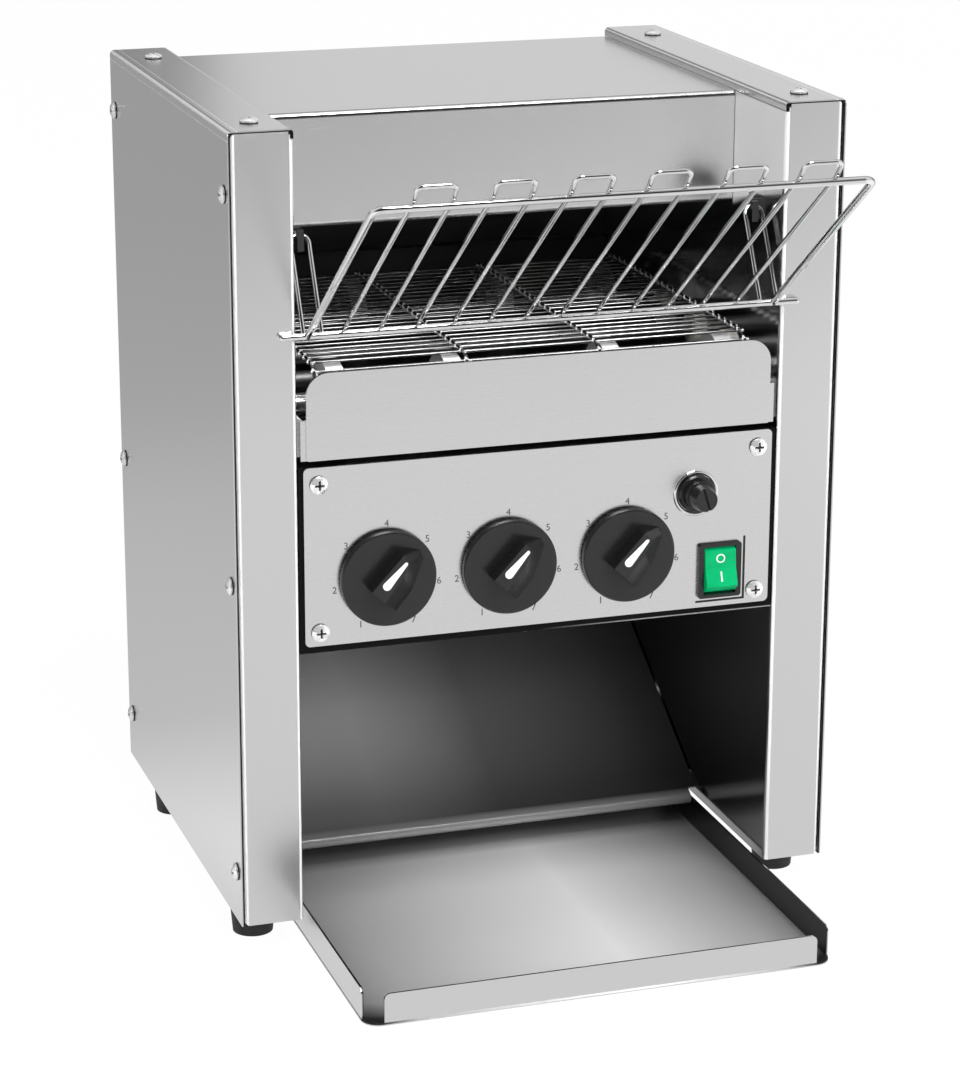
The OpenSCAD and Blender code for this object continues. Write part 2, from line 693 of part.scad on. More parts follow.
// The two prongs that hook wire i to the next one, wide and narrow by turns
module prongs(i, start, stop) for (side = [-1, 1])
    translate([side * (link_half + (i % 2) * link_step) - link_wire / 2, start])
        square([link_wire, stop - start]);
module flat_columns(first, last, z) for (x = link_columns)
    translate([x, 0, z - link_t / 2]) linear_extrude(link_t)
        for (i = [first : last - 1]) {
            y = min(on_belt(wire_s(i))[0], on_belt(wire_s(i + 1))[0]);
            translate([0, y]) prongs(i, -link_t / 2, belt_pitch + link_t / 2);
        }
module bend_links(first, last) for (i = [first - 1 : last]) {
    p = on_belt(wire_s(i));
    q = on_belt(wire_s((i + 1) % belt_wires));
    start = i == first - 1 ? belt_r : -link_t / 2;
    stop = norm(q - p) + (i == last ? -belt_r : link_t / 2);
    translate([0, p[0], p[1]]) rotate([atan2(q[1] - p[1], q[0] - p[0]), 0, 0])
        for (x = link_columns) translate([x, 0, -link_t / 2])
            linear_extrude(link_t) prongs(i, start, stop);
}
module belt_top_run() color(STEEL) place() {
    belt_wires_of(0, rear_first - 1);
    flat_columns(0, rear_first - 1, belt_z);
}
module belt_rear_bend() color(STEEL) place() {
    belt_wires_of(rear_first, return_first - 1);
    bend_links(rear_first, return_first - 1);
}
module belt_return_run() color(STEEL) place() {
    belt_wires_of(return_first, front_first - 1);
    flat_columns(return_first, front_first - 1, shaft_z - loop_r);
}
module belt_front_bend() color(STEEL) place() {
    belt_wires_of(front_first, belt_wires - 1);
    bend_links(front_first, belt_wires - 1);
}

module belt_wheel(x, y) translate([0, y, shaft_z]) difference() {
    union() {
        rod_x(2 * wheel_r, x - wheel_w / 2, x + wheel_w / 2);
        rod_x(shaft_d + 8, x - wheel_w / 2 - 3, x + wheel_w / 2 + 3);
    }
    rod_x(shaft_d, x - wheel_w, x + wheel_w);
    for (a = [0 : 60 : 300]) rotate([a, 0, 0]) translate([0, (wheel_r + shaft_d / 2) / 2 + 1, 0])
        rod_x(4, x - wheel_w, x + wheel_w);
}
wheel_places = [-wheel_outer_x, -wheel_inner_x, wheel_inner_x, wheel_outer_x];
shaft_end = mouth_half + sheet + bush_len - 2;
module front_shaft() color(STEEL) place() translate([0, front_shaft_y, shaft_z])
    rod_x(shaft_d, -shaft_end, shaft_end);
module front_wheels() color(STEEL) place() for (x = wheel_places) belt_wheel(x, front_shaft_y);
module drive_shaft() color(STEEL) place() translate([0, drive_shaft_y, shaft_z])
    rod_x(shaft_d, -shaft_end, chain_x + 4);
module drive_wheels() color(STEEL) place() for (x = wheel_places) belt_wheel(x, drive_shaft_y);
module shaft_bushes() color("goldenrod") place() both_sides()
    for (y = [front_shaft_y, drive_shaft_y]) translate([0, y, shaft_z]) difference() {
        union() {
            rod_x(bush_d, mouth_half - bush_flange, mouth_half + bush_len - bush_flange);
            rod_x(bush_d + 5, mouth_half - bush_flange, mouth_half);
        }
        rod_x(shaft_d + 2 * shaft_fit, mouth_half - bush_len, mouth_half + 2 * bush_len);
    }

// ---- drive ----

module gearmotor() color(DARK_STEEL) place() translate([0, motor_y, motor_z]) {
    face = housing_half - housing_sheet;
    difference() {
        union() {
            rod_x(gearbox_d, face - 21, face);
            rod_x(gearbox_d - 4, face - 56, face - 21);
            rod_x(12, face - 60, face - 56);
            for (z = [-1, 1]) translate([face - 66, -3, z * 9 - 0.4]) cube([10, 6, 0.8]);
        }
        rod_x(motor_shaft_d + 2 * shaft_fit, face - 12, face + overcut);
    }
}
module motor_shaft() color(STEEL) place() translate([0, motor_y, motor_z])
    rod_x(motor_shaft_d, housing_half - housing_sheet - 11.8, chain_x + 4);

// Teeth cut as seats for the rollers, with flanks that open outwards
module sprocket_outline(teeth, r, phase) difference() {
    circle(r + 1.4);
    for (i = [0 : teeth - 1]) rotate(phase + i * 360 / teeth) translate([r, 0]) {
        circle(d = roller_d + 0.3);
        polygon([[-0.5, 0.15 - roller_d / 2], [2.6, -roller_d / 2 - 1.35],
            [2.6, roller_d / 2 + 1.35], [-0.5, roller_d / 2 - 0.15]]);
    }
}
// Chain loop in its own plane: u points from the shaft sprocket to the motor sprocket
shaft_wrap = 180 + 2 * chain_lean;
motor_wrap = 180 - 2 * chain_lean;
shaft_arc = shaft_pitch_r * shaft_wrap * PI / 180;
motor_arc = motor_pitch_r * motor_wrap * PI / 180;
upper_tangent = 90 - chain_lean;
function on_arc(c, r, a) = [c + r * cos(a), r * sin(a)];
function on_chain(s) =
    s < chain_side ? on_arc(0, shaft_pitch_r, upper_tangent)
        + s * [cos(chain_lean), -sin(chain_lean)]
    : s < chain_side + motor_arc
        ? on_arc(chain_c, motor_pitch_r, upper_tangent - (s - chain_side) / motor_pitch_r * 180 / PI)
    : s < 2 * chain_side + motor_arc ? on_arc(chain_c, motor_pitch_r, -upper_tangent)
        - (s - chain_side - motor_arc) * [cos(chain_lean), sin(chain_lean)]
    : on_arc(0, shaft_pitch_r,
        -upper_tangent - (s - 2 * chain_side - motor_arc) / shaft_pitch_r * 180 / PI);
// Angle of the first roller on each sprocket
motor_step = (ceil(chain_side / chain_pitch) * chain_pitch - chain_side) / motor_pitch_r;
motor_phase = upper_tangent - motor_step * 180 / PI;
shaft_phase = upper_tangent;
// Turns the chain's plane, seen from the right, to its place on the drive shaft
module in_chain_plane(x0, t) translate([x0, drive_shaft_y, shaft_z])
    rotate([90, 0, 90]) linear_extrude(t) rotate(180 + chain_fall) mirror([0, 1]) children();
module sprocket(teeth, r, phase, u, y, z, bore, hub) difference() {
    union() {
        in_chain_plane(chain_x - sprocket_t / 2, sprocket_t)
            translate([u, 0]) sprocket_outline(teeth, r, phase);
        translate([0, y, z]) rod_x(hub, chain_x - 8, chain_x);
    }
    translate([0, y, z]) rod_x(bore, chain_x - 9, chain_x + sprocket_t);
}
module motor_sprocket() color(STEEL) place()
    sprocket(motor_teeth, motor_pitch_r, motor_phase, chain_c, motor_y, motor_z,
        motor_shaft_d, motor_shaft_d + 6);
module shaft_sprocket() color(STEEL) place()
    sprocket(shaft_teeth, shaft_pitch_r, shaft_phase, 0, drive_shaft_y, shaft_z,
        shaft_d, shaft_d + 8);
// The chain's path as a filled outline, o outside the rollers' middles
module chain_outline(o) {
    circle(shaft_pitch_r + o);
    translate([chain_c, 0]) circle(motor_pitch_r + o);
    polygon([on_arc(0, shaft_pitch_r + o, upper_tangent), on_arc(chain_c, motor_pitch_r + o, upper_tangent),
        on_arc(chain_c, motor_pitch_r + o, -upper_tangent), on_arc(0, shaft_pitch_r + o, -upper_tangent)]);
}
module drive_chain() color(DARK_STEEL) place() {
    for (side = [-1, 1]) in_chain_plane(chain_x + side * (chain_in + plate_t) / 2 - plate_t / 2, plate_t) {
        difference() {
            chain_outline(roller_d / 2);
            chain_outline(-roller_d / 2);
        }
        for (i = [0 : chain_links - 1]) translate(on_chain(i * chain_pitch)) circle(d = roller_d + 2);
    }
    in_chain_plane(chain_x - chain_in / 2, chain_in)
        for (i = [0 : chain_links - 1]) translate(on_chain(i * chain_pitch)) circle(d = roller_d);
}

// ---- controls ----

skirt_t = 3.5;
skirt_edge = 1.2;
grip_h = knob_h - knob_gap - skirt_t;
grip_share = knob_d / 45;
pointer_t = 0.5;
spindle_in = 9;
// All that lies under a sloping plane through p with the outward direction n
module under(n, p) translate(p * grip_share)
    rotate([0, acos(n[2] / norm(n)), atan2(n[1], n[0])])
        translate([-knob_d, -knob_d, -2 * knob_d]) cube(2 * knob_d);
// Straight left side, blunt rear end, sloping right flank and a nose that ends in a point
module grip() intersection() {
    linear_extrude(grip_h) intersection() {
        polygon(grip_share * [[-6.2, -9.3], [-6.2, 12.6], [1.8, 19.2], [9, 16.5], [14, -9.3]]);
        union() {
            translate(grip_share * [-0.9, 8.5]) circle(10.8 * grip_share);
            translate(grip_share * [-10, -12]) square(grip_share * [30, 22]);
        }
    }
    under([1, 0.08, 1.19], [12, 0, 0]);
    under([55.8, 23.4, 62.7], [11.1, 4.7, 0]);
    under([9, 36.9, 33.8], [1.6, 19, 0]);
}
// Round skirt with a turned edge, and the grip; z points away from the panel
module knob_shape() difference() {
    union() {
        rotate_extrude() {
            square([knob_d / 2 - skirt_edge, skirt_t]);
            square([knob_d / 2, skirt_t - skirt_edge]);
            intersection() {
                translate([knob_d / 2 - skirt_edge, skirt_t - skirt_edge]) circle(skirt_edge);
                square([knob_d, knob_d]);
            }
        }
        translate([0, 0, skirt_t]) grip();
    }
    translate([0, 0, -overcut]) cylinder(d = knob_d - 6, h = overcut + 1.7);
    translate([0, 0, -overcut]) cylinder(d = spindle_d, h = spindle_in + overcut);
    translate([0, 0, knob_h - knob_gap - pointer_t]) linear_extrude(2 * pointer_t)
        pointer_outline();
}
module pointer_outline() translate(grip_share * [-2.6, -2.75])
    drop(13.15 * grip_share, 2.05 * grip_share, 0.8 * grip_share);
module at_knob(i) translate([knob_x[i], -knob_gap, knob_z]) rotate([0, knob_rest, 0])
    rotate([90, 0, 0]) children();
module knob_bottom() color(BLACK) place() at_knob(0) knob_shape();
module knob_top() color(BLACK) place() at_knob(1) knob_shape();
module knob_speed() color(BLACK) place() at_knob(2) knob_shape();
module pointer_shape() translate([0, 0, knob_h - knob_gap - pointer_t])
    linear_extrude(pointer_t) pointer_outline();
module pointer_bottom() color(WHITE) place() at_knob(0) pointer_shape();
module pointer_top() color(WHITE) place() at_knob(1) pointer_shape();
module pointer_speed() color(WHITE) place() at_knob(2) pointer_shape();

regulator_front = 4.2;
regulator_d = 26;
module spindle_shape() translate([0, 0, -regulator_front - regulator_d + 4])
    cylinder(d = spindle_d, h = regulator_front + regulator_d + spindle_in - 4);
module spindle_bottom() color(STEEL) place() at_knob(0) spindle_shape();
module spindle_top() color(STEEL) place() at_knob(1) spindle_shape();
module spindle_speed() color(STEEL) place() at_knob(2) spindle_shape();

// Neck through the panel and a body behind it, both bored for the spindle
module control_body(i, w, h, d) translate([knob_x[i], 0, knob_z]) difference() {
    union() {
        rod_y(spindle_d + 4, 0, regulator_front);
        translate([-w / 2, regulator_front, -h / 2]) cube([w, d, h]);
        rod_y(spindle_d + 8, sheet, regulator_front);
        for (x = [-1, 1]) translate([x * w / 3 - 3, regulator_front + d, -h / 4])
            cube([6.3, 7, 0.8]);
    }
    rod_y(spindle_d + 2 * shaft_fit, -overcut, regulator_front + regulator_d - 3);
}
module bottom_regulator() color(BLACK) place() control_body(0, 42, 42, regulator_d);
module top_regulator() color(BLACK) place() control_body(1, 42, 42, regulator_d);
module speed_control() color(BLACK) place() {
    difference() {
        union() {
            control_body(2, 26, 26, regulator_d);
            translate([knob_x[2] - 20, regulator_front + 10, knob_z - 20]) cube([40, 1.6, 42]);
        }
        translate([knob_x[2], 0, knob_z])
            rod_y(spindle_d + 2 * shaft_fit, -overcut, regulator_front + regulator_d - 3);
    }
}
module terminal_block() color(WHITE) place()
    translate([18.2 + housing_sheet - housing_half, housing_d - housing_sheet - 18,
        housing_z + housing_sheet]) difference() {
        cube([64, 18, 16]);
        for (i = [0 : 5]) translate([7 + i * 10, 9, 10]) {
            cylinder(d = 5, h = 8);
            rotate([90, 0, 0]) cylinder(d = 3.6, h = 30, center = true);
        }
    }

module switch_housing() color(BLACK) place() translate([switch_mid_x, 0, switch_z]) difference() {
    union() {
        translate([-switch_w / 2, 0, -switch_h / 2]) inwards(-bezel_t, bezel_t)
            round_rect(switch_w, switch_h, 1.5);
        translate([-switch_body_w / 2 + 0.2, 0, -switch_body_h / 2 + 0.2])
            cube([switch_body_w - 0.4, switch_depth, switch_body_h - 0.4]);
        for (z = [-7, 0, 7]) translate([-3.2, switch_depth, z - 0.4]) cube([6.3, 8, 0.8]);
    }
    translate([-rocker_w / 2 - rocker_gap, -bezel_t - overcut, -rocker_r - rocker_gap])
        cube([rocker_w + 2 * rocker_gap, bezel_t + overcut + rocker_y, 2 * (rocker_r + rocker_gap)]);
    translate([0, rocker_y, 0])
        rod_x(2 * (rocker_r + rocker_gap), -rocker_w / 2 - rocker_gap, rocker_w / 2 + rocker_gap);
}
// A round-ended rocker with a shallow V face, at rest with its upper half pressed in
module switch_rocker() color(GREEN) place() translate([switch_mid_x, rocker_y, switch_z])
    rotate([-rocker_swing / 2, 0, 0]) across(rocker_w) intersection() {
        circle(rocker_r);
        polygon([[-rocker_y - 2.9, 0], [-rocker_y - 4.2, rocker_r], [4, rocker_r], [8, 5],
            [8, -5], [4, -rocker_r], [-rocker_y - 4.2, -rocker_r]]);
    }

thermo_depth = 22;
module safety_thermostat() color(DARK_STEEL) place() translate([thermo_mid_x, 0, thermo_z]) difference() {
    union() {
        rod_y(neck_d, -collar_t - 4, sheet + 2);
        rod_y(22, sheet, sheet + thermo_depth);
        for (x = [-1, 1]) translate([x * 6 - 3, sheet + thermo_depth, -0.4]) cube([6.3, 7, 0.8]);
    }
    rod_y(reset_d + 0.2, -collar_t - 5, sheet + 8);
}
module thermostat_collar() color(BLACK) place() translate([thermo_mid_x, 0, thermo_z]) difference() {
    rotate([90, 0, 0]) {
        cylinder(d = collar_d, h = collar_t - collar_bevel);
        translate([0, 0, collar_t - collar_bevel])
            cylinder(d1 = collar_d, d2 = collar_d - 2 * collar_bevel, h = collar_bevel);
    }
    rod_y(neck_d + 0.2, -collar_t - overcut, overcut);
}
cap_room = 0.1;
module thermostat_cap() color(BLACK) place() translate([thermo_mid_x, -collar_t - 0.3, thermo_z]) difference() {
    rotate([90, 0, 0]) union() {
        cylinder(d = 14, h = cap_l * 0.4);
        translate([0, 0, cap_l * 0.4]) cylinder(d1 = 13, d2 = 10.6, h = cap_l * 0.6);
    }
    rod_y(neck_d + 2 * cap_room, -4.2, overcut);
    rod_y(reset_d + 2, -7.8, overcut);
    rotate([0, -17, 0]) translate([-0.7, -cap_l - overcut, -6]) cube([1.4, 1.4 + overcut, 12]);
}
module reset_button() color("firebrick") place() translate([thermo_mid_x, 0, thermo_z])
    rod_y(reset_d, -collar_t - 5.4, sheet + 8 - reset_travel - 0.3);

// ---- loading rack ----

// Local frame of the rack: y runs up the slope, z points down and forward
module on_rack() translate([0, rack_y, rack_z]) rotate([180 - rack_tilt, 0, 0]) children();
module rod_between(d, l) rotate([-90, 0, 0]) cylinder(d = d, h = l);
module quarter_bend(r, d) rotate_extrude(angle = 90) translate([r, 0]) circle(d = d);
module rack_frame() {
    rod_x(rack_rod, -rack_base_l / 2, rack_base_l / 2);
    for (x = [-1, 1]) translate([x * rack_base_l / 2, 0, 0]) sphere(d = rack_rod);
    translate([0, rack_l, 0]) rod_x(rack_rod, -rack_half + corner_r, rack_half - corner_r);
    both_sides() {
        translate([rack_half, 0, 0]) rod_between(rack_rod, rack_l - corner_r);
        translate([rack_half - corner_r, rack_l - corner_r, 0]) quarter_bend(corner_r, rack_rod);
    }
}
function wire_x(k) = -rack_half + k * wire_step;
module end_loop() {
    rod_between(rack_wire, rack_loop - loop_r2);
    translate([wire_step, 0, 0]) rod_between(rack_wire, rack_loop - loop_r2);
    translate([0, rack_loop, 0]) rod_x(rack_wire, loop_r2, wire_step - loop_r2);
    translate([loop_r2, rack_loop - loop_r2, 0]) rotate([0, 0, 90]) quarter_bend(loop_r2, rack_wire);
    translate([wire_step - loop_r2, rack_loop - loop_r2, 0]) quarter_bend(loop_r2, rack_wire);
}
module side_leg() translate([leg_x, rack_y, rack_z]) rotate([leg_tilt, 0, 0]) {
    for (x = [0, leg_gap]) translate([x, 0, 0]) rod_between(rack_wire, leg_l);
    translate([leg_gap / 2, leg_l, 0]) rotate_extrude(angle = 180)
        translate([leg_gap / 2, 0]) circle(d = rack_wire);
}
module loading_rack() color(STEEL) place() {
    on_rack() {
        rack_frame();
        translate([0, 0, -wire_lift]) for (k = [1 : rack_wires]) translate([wire_x(k), -0.5, 0]) {
            rod_between(rack_wire, rack_l + 0.5);
            translate([0, rack_l + 0.5, 0]) sphere(d = rack_wire + 0.2);
        }
        translate([0, rack_l, -wire_lift]) for (k = [1 : 2 : rack_wires - 1])
            translate([wire_x(k), 0, 0]) rotate([-loop_kick, 0, 0]) end_loop();
    }
    both_sides() side_leg();
}
// A hook plate that the side leg's round end hangs on, with a foot on the inner wall
module rack_hooks() color(DARK_STEEL) place() both_sides() {
    saddle_z = hook_bar_z - rack_wire / 2 - hook_room;
    slot_y = hook_bar_y - rack_wire / 2 - hook_room / 2;
    back_y = hook_bar_y + rack_wire / 2 + hook_room;
    across(hook_t, hook_x) difference() {
        translate([slot_y - hook_tip, saddle_z - 5])
            square([back_y + 3 - slot_y + hook_tip, 5 + hook_rise]);
        translate([slot_y, saddle_z]) square([back_y - slot_y, hook_rise + overcut]);
    }
    translate([hook_x - hook_t / 2, back_y, saddle_z - 5])
        cube([mouth_half - hook_x + hook_t / 2, 2, 5 + hook_rise]);
    translate([mouth_half - 1.5, back_y, saddle_z - 5]) cube([1.5, 16, 5 + hook_rise]);
}

// ---- tray ----

module tray_floor_outline() difference() {
    translate([-tray_half - tray_sheet, -tray_out]) square([tray_w + 2 * tray_sheet, tray_d]);
    for (side = [-1, 1]) translate([side * (tray_half + tray_sheet), -tray_out, 0]) difference() {
        square(2 * tray_corner, center = true);
        translate([-side * tray_corner, tray_corner]) circle(tray_corner);
    }
}
module collection_tray() color(STEEL) place() {
    side_start = tray_corner - 1;
    translate([0, 0, tray_z]) linear_extrude(tray_sheet) tray_floor_outline();
    both_sides() across(tray_sheet, tray_half + tray_sheet / 2)
        translate([side_start - tray_out, tray_z]) {
            round_rect(tray_d - side_start, tray_h, 3);
            square([tray_d - side_start, tray_h / 2]);
        }
    inwards(-tray_out, tray_sheet) translate([-tray_lip_w / 2, tray_z]) {
        round_rect(tray_lip_w, tray_h - 0.5, 3);
        square([tray_lip_w, tray_h / 2]);
    }
    inwards(tray_d - tray_out - tray_sheet, tray_sheet) translate([-tray_half, tray_z])
        square([tray_w, tray_h - 4]);
}

// ---- feet, screws, gland ----

module feet() color(BLACK) place() both_sides() for (y = [foot_front_y, foot_rear_y])
    translate([foot_x, y, -foot_h]) difference() {
        union() {
            cylinder(d1 = foot_base_d, d2 = foot_d, h = foot_h);
            translate([0, 0, foot_h]) cylinder(d = foot_stud_d, h = sheet);
            translate([0, 0, foot_h + sheet]) cylinder(d1 = foot_stud_d + 2, d2 = 4, h = 4);
        }
        translate([0, 0, -overcut]) cylinder(d = 7, h = overcut + 4);
    }
module side_screws() color(STEEL) place() both_sides() for (y = side_screw_y, z = side_screw_z)
    translate([body_w / 2, y, z]) rotate([0, 90, 0]) pan_screw(head_d, head_h, screw_d, 6);
module top_screws() color(STEEL) place() both_sides() for (y = top_screw_y)
    translate([top_screw_x, y, body_h]) pan_screw(head_d, head_h, screw_d, 6);
module panel_screws() color(STEEL) place() for (x = [-1, 1], z = panel_screw_z)
    translate([x * panel_screw_x, 0, z]) rotate([90, 0, 0]) pan_screw(head_d, head_h, screw_d, 6);
module rear_screws() color(STEEL) place() both_sides() for (z = rear_screw_z)
    translate([rear_screw_x, rear_face, z]) rotate([-90, 0, 0])
        pan_screw(head_d, head_h, screw_d, 6);
cable_bore = 8;
module cable_gland() color(BLACK) place() translate([gland_x, 0, gland_z]) difference() {
    union() {
        rod_y(gland_d - 0.2, body_d - 8, rear_face);
        translate([0, rear_face, 0]) rotate([-90, 0, 0]) {
            cylinder(d = 24, h = 5, $fn = 6);
            translate([0, 0, 5]) cylinder(d1 = 19, d2 = 13, h = gland_out - 5);
        }
        translate([0, body_d - 5, 0]) rotate([-90, 0, 0]) cylinder(d = 24, h = 5, $fn = 6);
    }
    rod_y(cable_bore, body_d - 9, rear_face + gland_out + overcut);
}

side_frame_left();
side_frame_right();
side_cover_left();
side_cover_right();
top_cover();
rear_panel();
base_plate();
toast_chute();
front_guard();
guard_brackets();
control_panel();
control_housing();
housing_screws();
upper_reflector();
lower_reflector();
upper_elements();
lower_elements();
element_bushes();
belt_top_run();
belt_rear_bend();
belt_return_run();
belt_front_bend();
front_shaft();
front_wheels();
drive_shaft();
drive_wheels();
shaft_bushes();
gearmotor();
motor_shaft();
motor_sprocket();
shaft_sprocket();
drive_chain();
knob_bottom();
knob_top();
knob_speed();
pointer_bottom();
pointer_top();
pointer_speed();
spindle_bottom();
spindle_top();
spindle_speed();
bottom_regulator();
top_regulator();
speed_control();
terminal_block();
switch_housing();
switch_rocker();
safety_thermostat();
thermostat_collar();
thermostat_cap();
reset_button();
loading_rack();
rack_hooks();
collection_tray();
feet();
side_screws();
top_screws();
panel_screws();
rear_screws();
cable_gland();
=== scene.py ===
import math

import bmesh
import bpy
from mathutils import Matrix, Vector


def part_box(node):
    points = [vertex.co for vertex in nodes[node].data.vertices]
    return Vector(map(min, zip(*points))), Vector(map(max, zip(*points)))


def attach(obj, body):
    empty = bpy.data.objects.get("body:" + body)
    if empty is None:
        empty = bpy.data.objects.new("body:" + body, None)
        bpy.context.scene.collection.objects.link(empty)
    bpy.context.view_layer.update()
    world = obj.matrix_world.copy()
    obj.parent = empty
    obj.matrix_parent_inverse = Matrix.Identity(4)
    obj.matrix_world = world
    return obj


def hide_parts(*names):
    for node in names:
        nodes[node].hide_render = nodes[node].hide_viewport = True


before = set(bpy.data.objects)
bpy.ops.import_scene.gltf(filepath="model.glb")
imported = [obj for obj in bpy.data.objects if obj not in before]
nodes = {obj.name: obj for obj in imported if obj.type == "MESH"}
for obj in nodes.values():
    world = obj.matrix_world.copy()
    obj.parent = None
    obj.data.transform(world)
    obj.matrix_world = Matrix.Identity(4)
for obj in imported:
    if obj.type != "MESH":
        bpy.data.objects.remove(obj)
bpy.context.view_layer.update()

# ---- sizes and places ----

# The front of the control panel, from which depths are given, and the body's underside, in the frame
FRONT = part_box("control_panel")[0][1]
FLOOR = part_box("side_cover_left")[0][2]

# The body, in metres: half its width, half its mouth, its height, and how far back the header stands
HALF_W, HALF_MOUTH, BODY_H, HEADER_BACK = 0.145, 0.1160, 0.370, 0.0607

# The tray, in metres: half its width, its reach in front, its floor's top, and its sides' inner faces
TRAY_HALF, TRAY_REACH, TRAY_FLOOR, TRAY_INSIDE = 0.112, 0.091, 0.0013, 0.1113

# Height of a pan head, in metres
HEAD_H = 0.0026

# The belt's loop, in millimetres: front shaft, height of the wires, radius of the bends, straight run
FRONT_SHAFT, BELT_TOP, LOOP_R, BELT_RUN = 23.5, 260.5, 20, 161.17

# Strands round the loop, and the distance between them along it, in millimetres
STRANDS, PITCH = 60, 7.4667

# The four columns where the strands hook into each other, and half a wire's thickness, in millimetres
COLUMNS = (-103.6, -32, 32, 103.6)
WIRE_R = 0.66

# The dials, in millimetres: their places, and the radius of their numbers. The numbers' step is in degrees
DIAL_X = {"bottom": -74.4, "top": -16.4, "speed": 41.6}
DIAL_Z, DIAL_R, DIAL_STEP = 163, 25.1, 50

# The middles of the thermostat and of the switch, in millimetres
THERMOSTAT_X, THERMOSTAT_Z, SWITCH_X = 75.4, 189.2, 87.8

# How far in front of the panel lettering and lines have their middle, in millimetres
PRINT_OUT, LINE_OUT = 0.05, 0.04

# Lettering stands this far on each side of its middle, and lines are this thick, in metres
PRINT_T = 0.00008

# Grain of the sheets, by the direction in which it runs
UPRIGHT_GRAIN, CROSS_GRAIN, DEEP_GRAIN = (2600, 2600, 30), (30, 2600, 2600), (2600, 30, 2600)

# Beyond any place on the toaster, in metres
FAR = 1


def at(x, y, z):
    """A place given in millimetres from the middle, the panel's front and the body's underside."""
    return Vector((x / 1000, FRONT + y / 1000, FLOOR + z / 1000))


# ---- camera ----

def camera():
    bpy.ops.object.camera_add(location=at(-481.2, -1370.1, 623.2))
    eye = bpy.context.object
    yaw, pitch, roll = 0.318086, 0.300199, 0.003071
    level = math.cos(pitch)
    ahead = Vector((math.sin(yaw) * level, math.cos(yaw) * level, -math.sin(pitch)))
    turn = ahead.to_track_quat("-Z", "Y").to_matrix() @ Matrix.Rotation(roll, 3, "Z")
    eye.rotation_euler = turn.to_euler()
    eye.data.sensor_width = 36
    eye.data.lens = 110.54
    eye.data.clip_start = 0.05
    eye.data.clip_end = 20
    bpy.context.scene.camera = eye


# ---- steps of a finish ----

def new_material(name):
    mat = bpy.data.materials.new(name)
    mat.use_nodes = True
    tree = mat.node_tree
    return mat, tree, tree.nodes["Principled BSDF"]


def grey(value):
    return (value, value, value, 1)


def stretched_noise(tree, stretch):
    coords = tree.nodes.new("ShaderNodeTexCoord")
    mapping = tree.nodes.new("ShaderNodeMapping")
    mapping.inputs["Scale"].default_value = stretch
    noise = tree.nodes.new("ShaderNodeTexNoise")
    noise.inputs["Scale"].default_value = 1
    noise.inputs["Detail"].default_value = 3
    tree.links.new(coords.outputs["Object"], mapping.inputs["Vector"])
    tree.links.new(mapping.outputs["Vector"], noise.inputs["Vector"])
    return noise.outputs["Fac"]


def ranged(tree, value, source, target=(0, 1)):
    """Maps one range of a value onto another, and stops at its ends."""
    step = tree.nodes.new("ShaderNodeMapRange")
    step.inputs["From Min"].default_value, step.inputs["From Max"].default_value = source
    step.inputs["To Min"].default_value, step.inputs["To Max"].default_value = target
    tree.links.new(value, step.inputs["Value"])
    return step.outputs["Result"]


def spread(tree, noise, low, high):
    """Maps the middle of a noise onto a range."""
    return ranged(tree, noise, (0.3, 0.7), (low, high))


def shaded(tree, noise, dark, light):
    """Colours a noise from dark to light."""
    ramp = tree.nodes.new("ShaderNodeValToRGB")
    for end, position, colour in zip(ramp.color_ramp.elements, (0.3, 0.7), (dark, light)):
        end.position = position
        end.color = (*colour, 1)
    tree.links.new(noise, ramp.inputs["Fac"])
    return ramp.outputs["Color"]


def ridged(tree, bsdf, height, strength, distance=0.00001):
    bump = tree.nodes.new("ShaderNodeBump")
    bump.inputs["Strength"].default_value = strength
    bump.inputs["Distance"].default_value = distance
    tree.links.new(height, bump.inputs["Height"])
    tree.links.new(bump.outputs["Normal"], bsdf.inputs["Normal"])


def worked(tree, how, first, second=0):
    """A sum, product or other result of two values, either of them a number or a socket."""
    step = tree.nodes.new("ShaderNodeMath")
    step.operation = how
    for place, value in enumerate((first, second)):
        if isinstance(value, (int, float)):
            step.inputs[place].default_value = value
        else:
            tree.links.new(value, step.inputs[place])
    return step.outputs[0]


def band(tree, value, low, high, soft=0.0002):
    """1 where a value lies between two limits, else 0."""
    rising = ranged(tree, value, (low - soft, low + soft))
    falling = ranged(tree, value, (high - soft, high + soft), (1, 0))
    return worked(tree, "MULTIPLY", rising, falling)


def both(tree, first, second):
    """1 where two places overlap."""
    return worked(tree, "MULTIPLY", first, second)


def either(tree, first, second):
    """1 in either of two places."""
    return worked(tree, "MAXIMUM", first, second)


def varied(tree, bsdf, socket, where, first, second):
    """A value of the shader that is the first number outside a place and the second one within it."""
    tree.links.new(ranged(tree, where, (0, 1), (first, second)), bsdf.inputs[socket])


def own_places(tree):
    """The places across, back and up on a piece."""
    coords = tree.nodes.new("ShaderNodeTexCoord")
    parts = tree.nodes.new("ShaderNodeSeparateXYZ")
    tree.links.new(coords.outputs["Object"], parts.inputs["Vector"])
    return parts.outputs["X"], parts.outputs["Y"], parts.outputs["Z"]


def paired_places(tree):
    """The distance from the middle plane, and the places back and up, alike on both sides."""
    across, back, up = own_places(tree)
    return worked(tree, "ABSOLUTE", across), back, up


def mix_node(tree, blend="MIX"):
    mix = tree.nodes.new("ShaderNodeMix")
    mix.data_type = "RGBA"
    mix.blend_type = blend
    return mix


